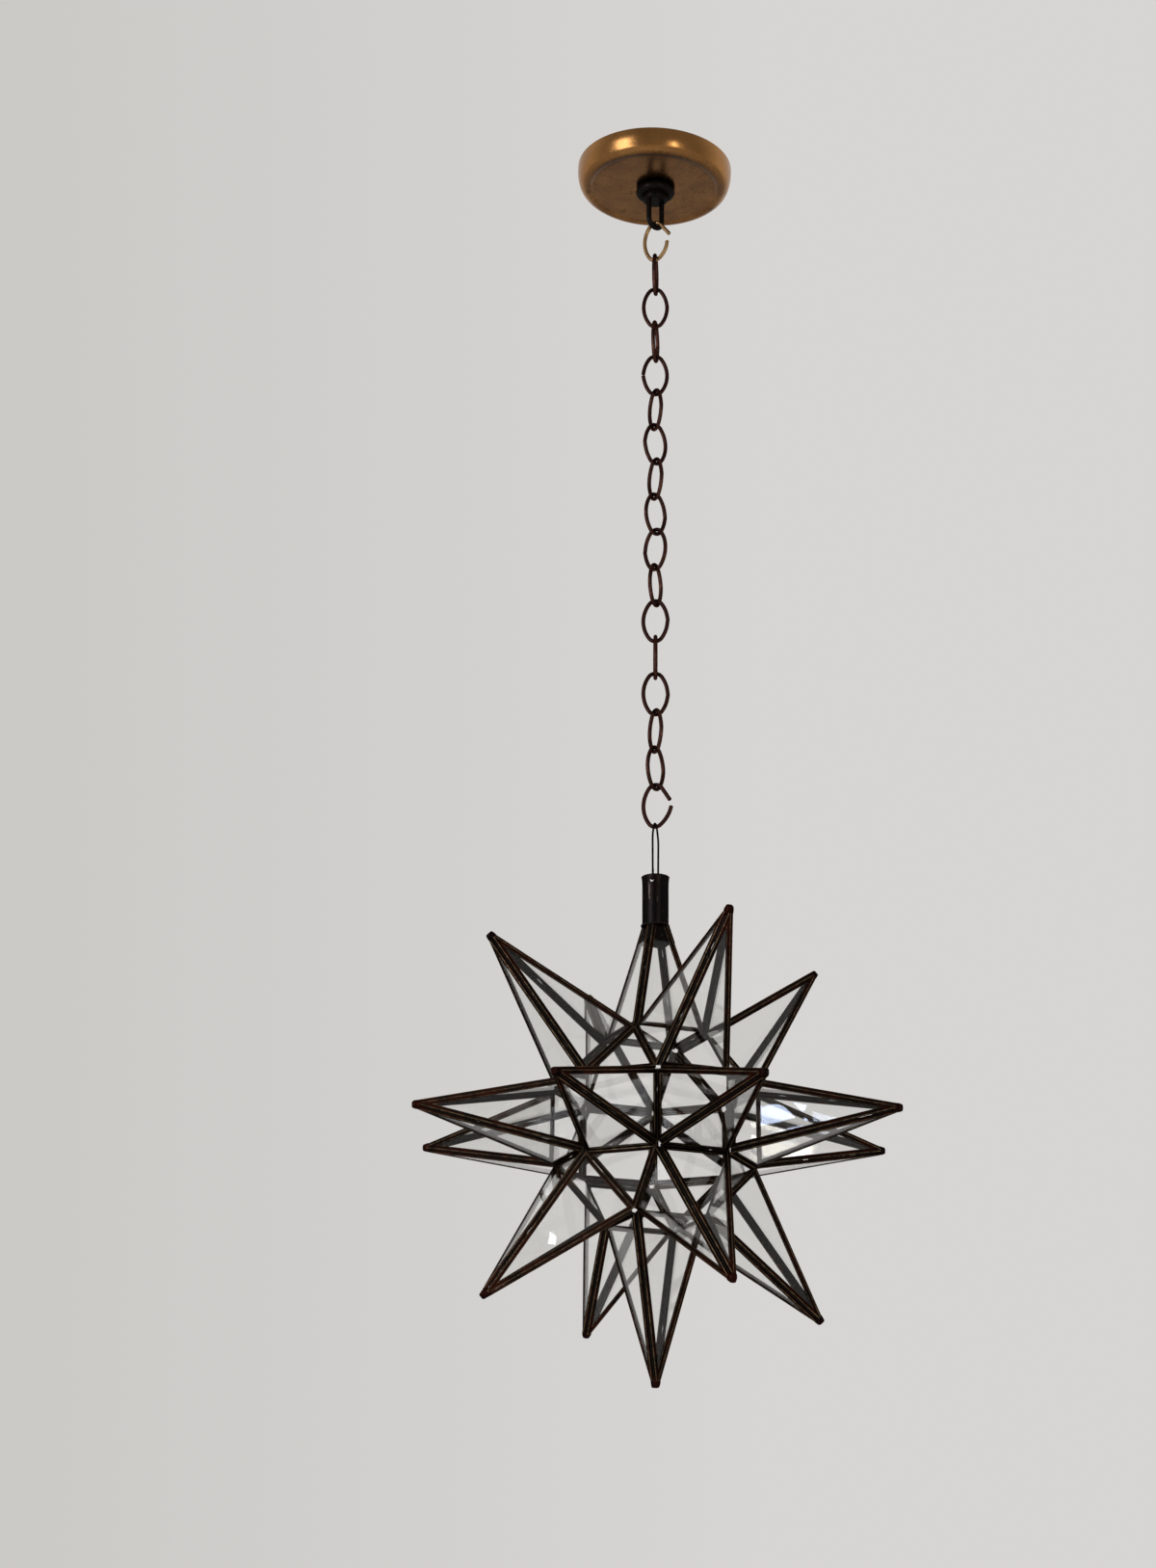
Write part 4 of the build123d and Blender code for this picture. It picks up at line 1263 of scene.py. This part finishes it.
def tip_cap_points(sizes, axis, first, seed):
    """Solder cap on a point: rounded squares stacked along the axis, their half width following the
    panes, swelling a little and ending in a shallow hollow; all a little uneven."""
    second = np.cross(axis, first)
    lean = math.pi / 2 - point_slope(sizes, sizes.apex_radius)
    tip, foot = sizes.tip_radius, sizes.tip_radius - sizes.cap_length
    half_came = sizes.came_height / 2
    chance = np.random.default_rng(seed)
    levels = np.array([foot - 5.5 * MM, foot - 2.5 * MM, foot, foot + 1.5 * MM, foot + 3.0 * MM,
                       tip - 0.5 * MM,
                       tip - 0.1 * MM, tip - 0.05 * MM, tip - 0.5 * MM, tip - 0.9 * MM])
    grow = np.array([-half_came, -0.2 * half_came, half_came - 0.3 * MM, half_came - 0.2 * MM,
                     half_came - 0.15 * MM, half_came - 0.25 * MM, half_came - 0.6 * MM,
                     half_came - 1.0 * MM,
                     half_came - 1.4 * MM, half_came - 1.9 * MM])
    half = (sizes.apex_radius - levels) * math.tan(lean) + grow / math.cos(lean)
    outline = rounded_square(1.0, TIP_CORNERS, 24)
    rows = outline[None] * half[:, None, None]
    rows = rows * (1 + 0.02 * chance.normal(size=(len(levels), 24, 1)))
    return (star_centre() + levels[:, None, None] * axis + rows[..., :1] * first + rows[..., 1:]
            * second)


def seams(panes):
    """Pairs of pane edges that lie on the same line, by the middle of the edge."""
    found = {}
    for pane in panes:
        for start, end, inward, inset in pane.edges():
            key = tuple(np.round((start + end) / 2 / MM, 1) + 0.0)
            found.setdefault(key, []).append((start, end, inward, inset, pane))
    return [pair for pair in found.values() if len(pair) == 2]


def seam_fill(start, along, half_width, half_height, across, out, length, seed):
    """Solder run: flattened ovals along a seam, their width and height uneven. At one or two
    places the run thins out to a tenth over a few millimetres, and light comes through the seam
    there."""
    share = np.linspace(0, 1, max(8, int(length / (3.2 * MM))))
    chance = np.random.default_rng(seed)
    thin = np.zeros_like(share)
    for _ in range(chance.integers(0, 3)):
        thin = np.maximum(thin, np.exp(-((share - chance.uniform(0.1, 0.9)) * length
                                         / (3.5 * MM)) ** 4))
    size = (1 + 0.12 * waves(share, seed, 12)) * (1 - 0.9 * thin)
    height = half_height * (1 + 0.35 * waves(share, seed + 1, 14)) * (1 - 0.8 * thin)
    around = circle(8)
    middle = start + (share * length)[:, None] * along
    return (middle[:, None] + (half_width * size[:, None] * np.cos(around))[..., None] * across
            + (height[:, None] * np.sin(around))[..., None] * out)


def solder_runs(sizes, panes, ridges):
    """Solder in the groove between neighbouring cames, sunk a little below their nearest
    corners. ridges picks the points' own edges or else the valleys. The groove's width is taken
    at two thirds of the came's height, on the side where the two cames come closest."""
    skin = Skin()
    half_came = sizes.came_height / 2
    for number, (first, second) in enumerate(seams(panes)):
        start, end, inward, inset, pane = first
        _, _, inward_2, inset_2, pane_2 = second
        run = np.linalg.norm(end - start)
        is_ridge = run > sizes.core_edge + MM
        if is_ridge != ridges:
            continue
        along = (end - start) / run

        def back(level):
            return inward * inset + pane.normal * level, inward_2 * inset_2 + pane_2.normal * level

        def gap(level):
            return np.linalg.norm(np.subtract(*back(level)))

        near = min((half_came, -half_came), key=gap) * 0.66
        out = pane.normal + pane_2.normal
        out /= np.linalg.norm(out)
        across = np.cross(along, out)
        reach = min(pane.reach, pane_2.reach) / pane.height * run if is_ridge else run
        margin = 1.5 * MM
        skin.grid(seam_fill(start + sum(back(near)) / 2 + along * margin, along,
                            gap(near) / 2 + 0.15 * MM,
                            0.5 * MM, across, out, reach - 2 * margin, 300 + number),
                  wrap_columns=True, close_ends=True)
    return skin


# ---------------------------------------------------------------- operators
class PENDANT_OT_canopy(bpy.types.Operator):
    """Make the spun brass canopy"""
    bl_idname = "pendant.canopy"
    bl_label = "Canopy"

    def execute(self, context):
        skin = canopy_skin(context.scene.pendant_fitting)
        skin.piece("canopy_pan", material_named(aged_lacquered_brass), "canopy", "canopy_brass",
                   "ceiling_canopy")
        return {"FINISHED"}


class PENDANT_OT_ceiling_hardware(bpy.types.Operator):
    """Make the nipple and locknut inside the canopy and dress the strap"""
    bl_idname = "pendant.ceiling_hardware"
    bl_label = "Ceiling hardware"

    def execute(self, context):
        sizes, zinc = context.scene.pendant_fitting, material_named(zinc_plate)
        nipple_skin(sizes).piece("nipple_with_thread", zinc, "canopy", "zinc_plated_steel",
                                 "threaded_nipple")
        nut_skin(sizes).piece("hexagon_locknut", zinc, "canopy", "zinc_plated_steel",
                              "strap_locknut", crease=25)
        dress("mounting_strap", zinc_plate)
        return {"FINISHED"}


class PENDANT_OT_collar_and_loop(bpy.types.Operator):
    """Make the collar under the canopy and the loop that carries the chain"""
    bl_idname = "pendant.collar_and_loop"
    bl_label = "Collar and loop"

    def execute(self, context):
        sizes, black = context.scene.pendant_fitting, material_named(blackened_brass)
        collar_skin(sizes).piece("canopy_collar", black, "canopy", "dark_fitting", "collar_ring",
                                 crease=50)
        loop_skin(sizes).piece("boss_and_loop", black, "canopy", "dark_fitting", "canopy_loop")
        return {"FINISHED"}


class PENDANT_OT_chain(bpy.types.Operator):
    """Make the chain's links"""
    bl_idname = "pendant.chain"
    bl_label = "Chain"

    def execute(self, context):
        sizes = context.scene.pendant_chain
        for number in range(1, LINK_COUNT + 1):
            plate, slot = (worn_link_brass, "link_brass") if number == 1 else (antique_copper_plate,
                                                                               "antique_copper")
            link_skin(sizes, number).piece(f"link_wire_{number:02d}", material_named(plate),
                                           f"link_{number:02d}",
                                           slot, f"chain_link_{number:02d}")
        return {"FINISHED"}


class PENDANT_OT_hanger(bpy.types.Operator):
    """Make the thin wire hoop between the chain and the tube"""
    bl_idname = "pendant.hanger"
    bl_label = "Hanger wire"

    def execute(self, context):
        skin = hanger_skin(context.scene.pendant_chain)
        skin.piece("hanger_hoop", material_named(black_iron_wire), "hanger", "black_wire",
                   "hanger_wire")
        return {"FINISHED"}


class PENDANT_OT_tube_and_boot(bpy.types.Operator):
    """Make the cap tube, its boot and the solder between them"""
    bl_idname = "pendant.tube_and_boot"
    bl_label = "Tube and boot"

    def execute(self, context):
        sizes, patina = context.scene.pendant_star, material_named(tube_patina)
        tube_skin(sizes).piece("holed_cap_tube", patina, "star", "tube_patina", "cap_tube")
        boot_skin(sizes).piece("boot_apron", patina, "star", "tube_patina", "cap_boot")
        seam = surface(seam_bead(sizes, 21), wrap_rows=True, wrap_columns=True)
        seam.piece("tube_seam_solder", material_named(patinated_solder), "star", "solder_patina")
        return {"FINISHED"}


class PENDANT_OT_cames(bpy.types.Operator):
    """Make the cames round every pane"""
    bl_idname = "pendant.cames"
    bl_label = "Cames"

    def execute(self, context):
        sizes, patina = context.scene.pendant_star, material_named(came_patina)
        for number, (name, (_, _, panes)) in enumerate(star_points(sizes).items()):
            skin = cames_skin(sizes, panes, 100 * number)
            skin.piece(f"cames_{name}", patina, "star", "came_patina", f"point_{name}_frame")
        cames_skin(sizes, corner_panes(sizes), 5000).piece("cames_corners", patina, "star",
                                                           "came_patina",
                                                          "corner_pane_frames")
        return {"FINISHED"}


class PENDANT_OT_glass(bpy.types.Operator):
    """Dress the panes as clear glass"""
    bl_idname = "pendant.glass"
    bl_label = "Panes"

    def execute(self, context):
        for tier in (*TIERS, "corners"):
            dress(f"glass_{tier}", clear_glass)
        return {"FINISHED"}


class PENDANT_OT_solder(bpy.types.Operator):
    """Make the tip caps and the solder along the seams"""
    bl_idname = "pendant.solder"
    bl_label = "Solder"

    def execute(self, context):
        sizes, solder = context.scene.pendant_star, material_named(patinated_solder)
        points = star_points(sizes)
        caps = Skin()
        for number, (name, (axis, first, _)) in enumerate(points.items()):
            if name != "top":
                caps.grid(tip_cap_points(sizes, axis, first, 40 + number), wrap_columns=True,
                          close_ends=True)
        caps.piece("tip_caps", material_named(came_patina), "star", "solder_patina",
                   "tip_solder_caps", crease=60)
        panes = [pane for _, _, members in points.values()
                 for pane in members] + corner_panes(sizes)
        solder_runs(sizes, panes, True).piece("ridge_solder_runs", solder, "star", "solder_patina",
                                              "ridge_solder")
        solder_runs(sizes, panes, False).piece("valley_solder_runs", solder, "star",
                                               "solder_patina", "valley_solder")
        return {"FINISHED"}


class PENDANT_OT_stage(bpy.types.Operator):
    """Make the floor, the light and the camera"""
    bl_idname = "pendant.stage"
    bl_label = "Floor, light and camera"

    def execute(self, context):
        make_floor(context.scene)
        make_world(context.scene)
        make_lamps(context.scene)
        make_camera(context.scene)
        context.scene.view_settings.view_transform = "Standard"
        return {"FINISHED"}


# ---------------------------------------------------------------- stage
def make_floor(scene):
    """A pale matte floor, a room's height below the ceiling."""
    floor_height, half = -2.6, 7.0
    mesh = bpy.data.meshes.new("floor")
    corners = [(-half, -half, floor_height), (half, -half, floor_height),
               (half, half, floor_height),
               (-half, half, floor_height)]
    mesh.from_pydata(corners, [], [(0, 1, 2, 3)])
    floor = bpy.data.objects.new("floor", mesh)
    scene.collection.objects.link(floor)
    material, tree, shader, place = finish("matte_floor", Roughness=0.8)
    clouds = mottle(tree, place, 0.9, 0.3, 0.7)
    pale = scene.pendant_colours.floor
    feed(tree, shader, Base_Color=blend_colours(tree, clouds, pale,
                                                tuple(0.96 * value for value in pale)))
    mesh.materials.append(material)


def make_world(scene):
    """Plain soft light from all round. The camera, gloss and glass see the pale backdrop, a
    little darker to the left. Gloss sees the room in front of the pendant dimmer than the
    backdrop behind it."""
    world = bpy.data.worlds.new("pale_room")
    scene.world = world
    world.use_nodes = True
    tree = world.node_tree
    tree.nodes.clear()
    colours = scene.pendant_colours
    way = add(tree, "ShaderNodeTexCoord", {}).outputs["Generated"]
    way = add(tree, "ShaderNodeSeparateXYZ", {"Vector": way})
    share = add(tree, "ShaderNodeMapRange", {"Value": way.outputs["X"], "From Min": -0.2,
                                             "From Max": 0.05})
    pale = blend_colours(tree, share.outputs["Result"], colours.backdrop_left, colours.backdrop)
    path = add(tree, "ShaderNodeLightPath", {})
    room = add(tree, "ShaderNodeMapRange", {"Value": way.outputs["Y"], "From Min": -0.4,
                                            "From Max": 0.3,
                                            "To Min": 0.4, "To Max": 1.0})
    strength = between(tree, path.outputs["Is Glossy Ray"], 1.0, room.outputs["Result"])
    seen = add(tree, "ShaderNodeBackground", {"Color": pale, "Strength": strength})
    light = add(tree, "ShaderNodeBackground", {"Color": (1.0, 1.0, 1.0, 1.0), "Strength": 0.55})
    direct = combine(tree, "MAXIMUM", path.outputs["Is Camera Ray"], path.outputs["Is Glossy Ray"])
    direct = combine(tree, "MAXIMUM", direct, path.outputs["Is Transmission Ray"])
    both = add(tree, "ShaderNodeMixShader", {0: direct, 1: light.outputs["Background"],
                                             2: seen.outputs["Background"]})
    add(tree, "ShaderNodeOutputWorld", {"Surface": both.outputs["Shader"]})


def aim(thing, place, target):
    """Stands a lamp at a place and turns its -Z towards the target."""
    thing.location = place
    thing.rotation_mode = "QUATERNION"
    thing.rotation_quaternion = (Vector(target) - Vector(place)).to_track_quat("-Z", "Y")


def make_lamps(scene):
    """Windows in front, a broad one to the left, a narrow one to the right and a far one at the
    left, and a small lamp. Places are azimuth from the front, elevation and distance from the
    pendant."""
    lamps = (
        ("left_window", -46, 7, 2.6, (0.95, 2.2), 30.0, "#F2F5FF"),
        ("far_left_window", -64.9, 6.9, 2.6, (0.13, 0.045), 0.22, "#D0DFFF"),
        ("right_window", 26, 1.5, 2.6, (0.1, 1.15), 7.5, "#FFF9F0"),
        ("small_lamp", 24.14, -15.3, 2.6, (0.009, 0.009), 0.012, "#FFFFFF"),
    )
    target = (0.0, 0.0, -0.5)
    for name, azimuth, elevation, distance, size, power, code in lamps:
        data = bpy.data.lights.new(name, "AREA")
        data.shape, data.size, data.size_y = "RECTANGLE", size[0], size[1]
        data.energy, data.color = power, linear(code)
        lamp = bpy.data.objects.new(name, data)
        scene.collection.objects.link(lamp)
        level = math.cos(math.radians(elevation)) * distance
        rise = math.sin(math.radians(elevation)) * distance
        place = outwards(azimuth) * level + np.array(target) + UP * rise
        aim(lamp, tuple(float(value) for value in place), target)


def make_camera(scene):
    """Camera at the photograph's place: its position, heading from +Y towards +X, pitch and
    roll."""
    place = (-0.0388, -2.1896, -1.3156)
    heading, pitch, roll = (math.radians(angle) for angle in (-0.547, 19.417, 0.511))
    focal_pixels, picture_height, sensor = 3124.35, 1627, 36.0
    forward = Vector((math.sin(heading) * math.cos(pitch), math.cos(heading) * math.cos(pitch),
                         math.sin(pitch)))
    right = Vector((math.cos(heading), -math.sin(heading), 0.0))
    above = right.cross(forward)
    level_right = right * math.cos(roll) + above * math.sin(roll)
    level_up = above * math.cos(roll) - right * math.sin(roll)
    turn = Matrix((level_right, level_up, -forward)).transposed()
    data = bpy.data.cameras.new("photo_camera")
    data.sensor_width, data.lens = sensor, focal_pixels * sensor / picture_height
    data.clip_start, data.clip_end = 0.05, 60.0
    camera = bpy.data.objects.new("photo_camera", data)
    scene.collection.objects.link(camera)
    camera.rotation_mode = "QUATERNION"
    camera.rotation_quaternion = turn.to_quaternion()
    camera.location = place
    scene.camera = camera


# ---------------------------------------------------------------- add-on
PROPERTY_GROUPS = {
    "pendant_fitting": PendantFittingSizes,
    "pendant_chain": PendantChainSizes,
    "pendant_star": PendantStarSizes,
    "pendant_colours": PendantColours,
}
OPERATORS = (
    PENDANT_OT_canopy, PENDANT_OT_ceiling_hardware, PENDANT_OT_collar_and_loop, PENDANT_OT_chain,
    PENDANT_OT_hanger, PENDANT_OT_tube_and_boot, PENDANT_OT_cames, PENDANT_OT_glass,
    PENDANT_OT_solder,
    PENDANT_OT_stage,
)


class PENDANT_PT_panel(bpy.types.Panel):
    """Lists the pendant's pieces in the sidebar"""
    bl_idname = "PENDANT_PT_panel"
    bl_label = "Star pendant"
    bl_space_type = "VIEW_3D"
    bl_region_type = "UI"
    bl_category = "Pendant"

    def draw(self, context):
        for operator in OPERATORS:
            self.layout.operator(operator.bl_idname)


def register():
    for name, group in PROPERTY_GROUPS.items():
        bpy.utils.register_class(group)
        setattr(bpy.types.Scene, name, PointerProperty(type=group))
    for kind in (*OPERATORS, PENDANT_PT_panel):
        bpy.utils.register_class(kind)


def unregister():
    for kind in (PENDANT_PT_panel, *reversed(OPERATORS)):
        bpy.utils.unregister_class(kind)
    for name, group in PROPERTY_GROUPS.items():
        delattr(bpy.types.Scene, name)
        bpy.utils.unregister_class(group)


def main():
    register()
    for operator in OPERATORS:
        getattr(bpy.ops.pendant, operator.bl_idname.split(".")[1])()


if __name__ == "__main__":
    main()
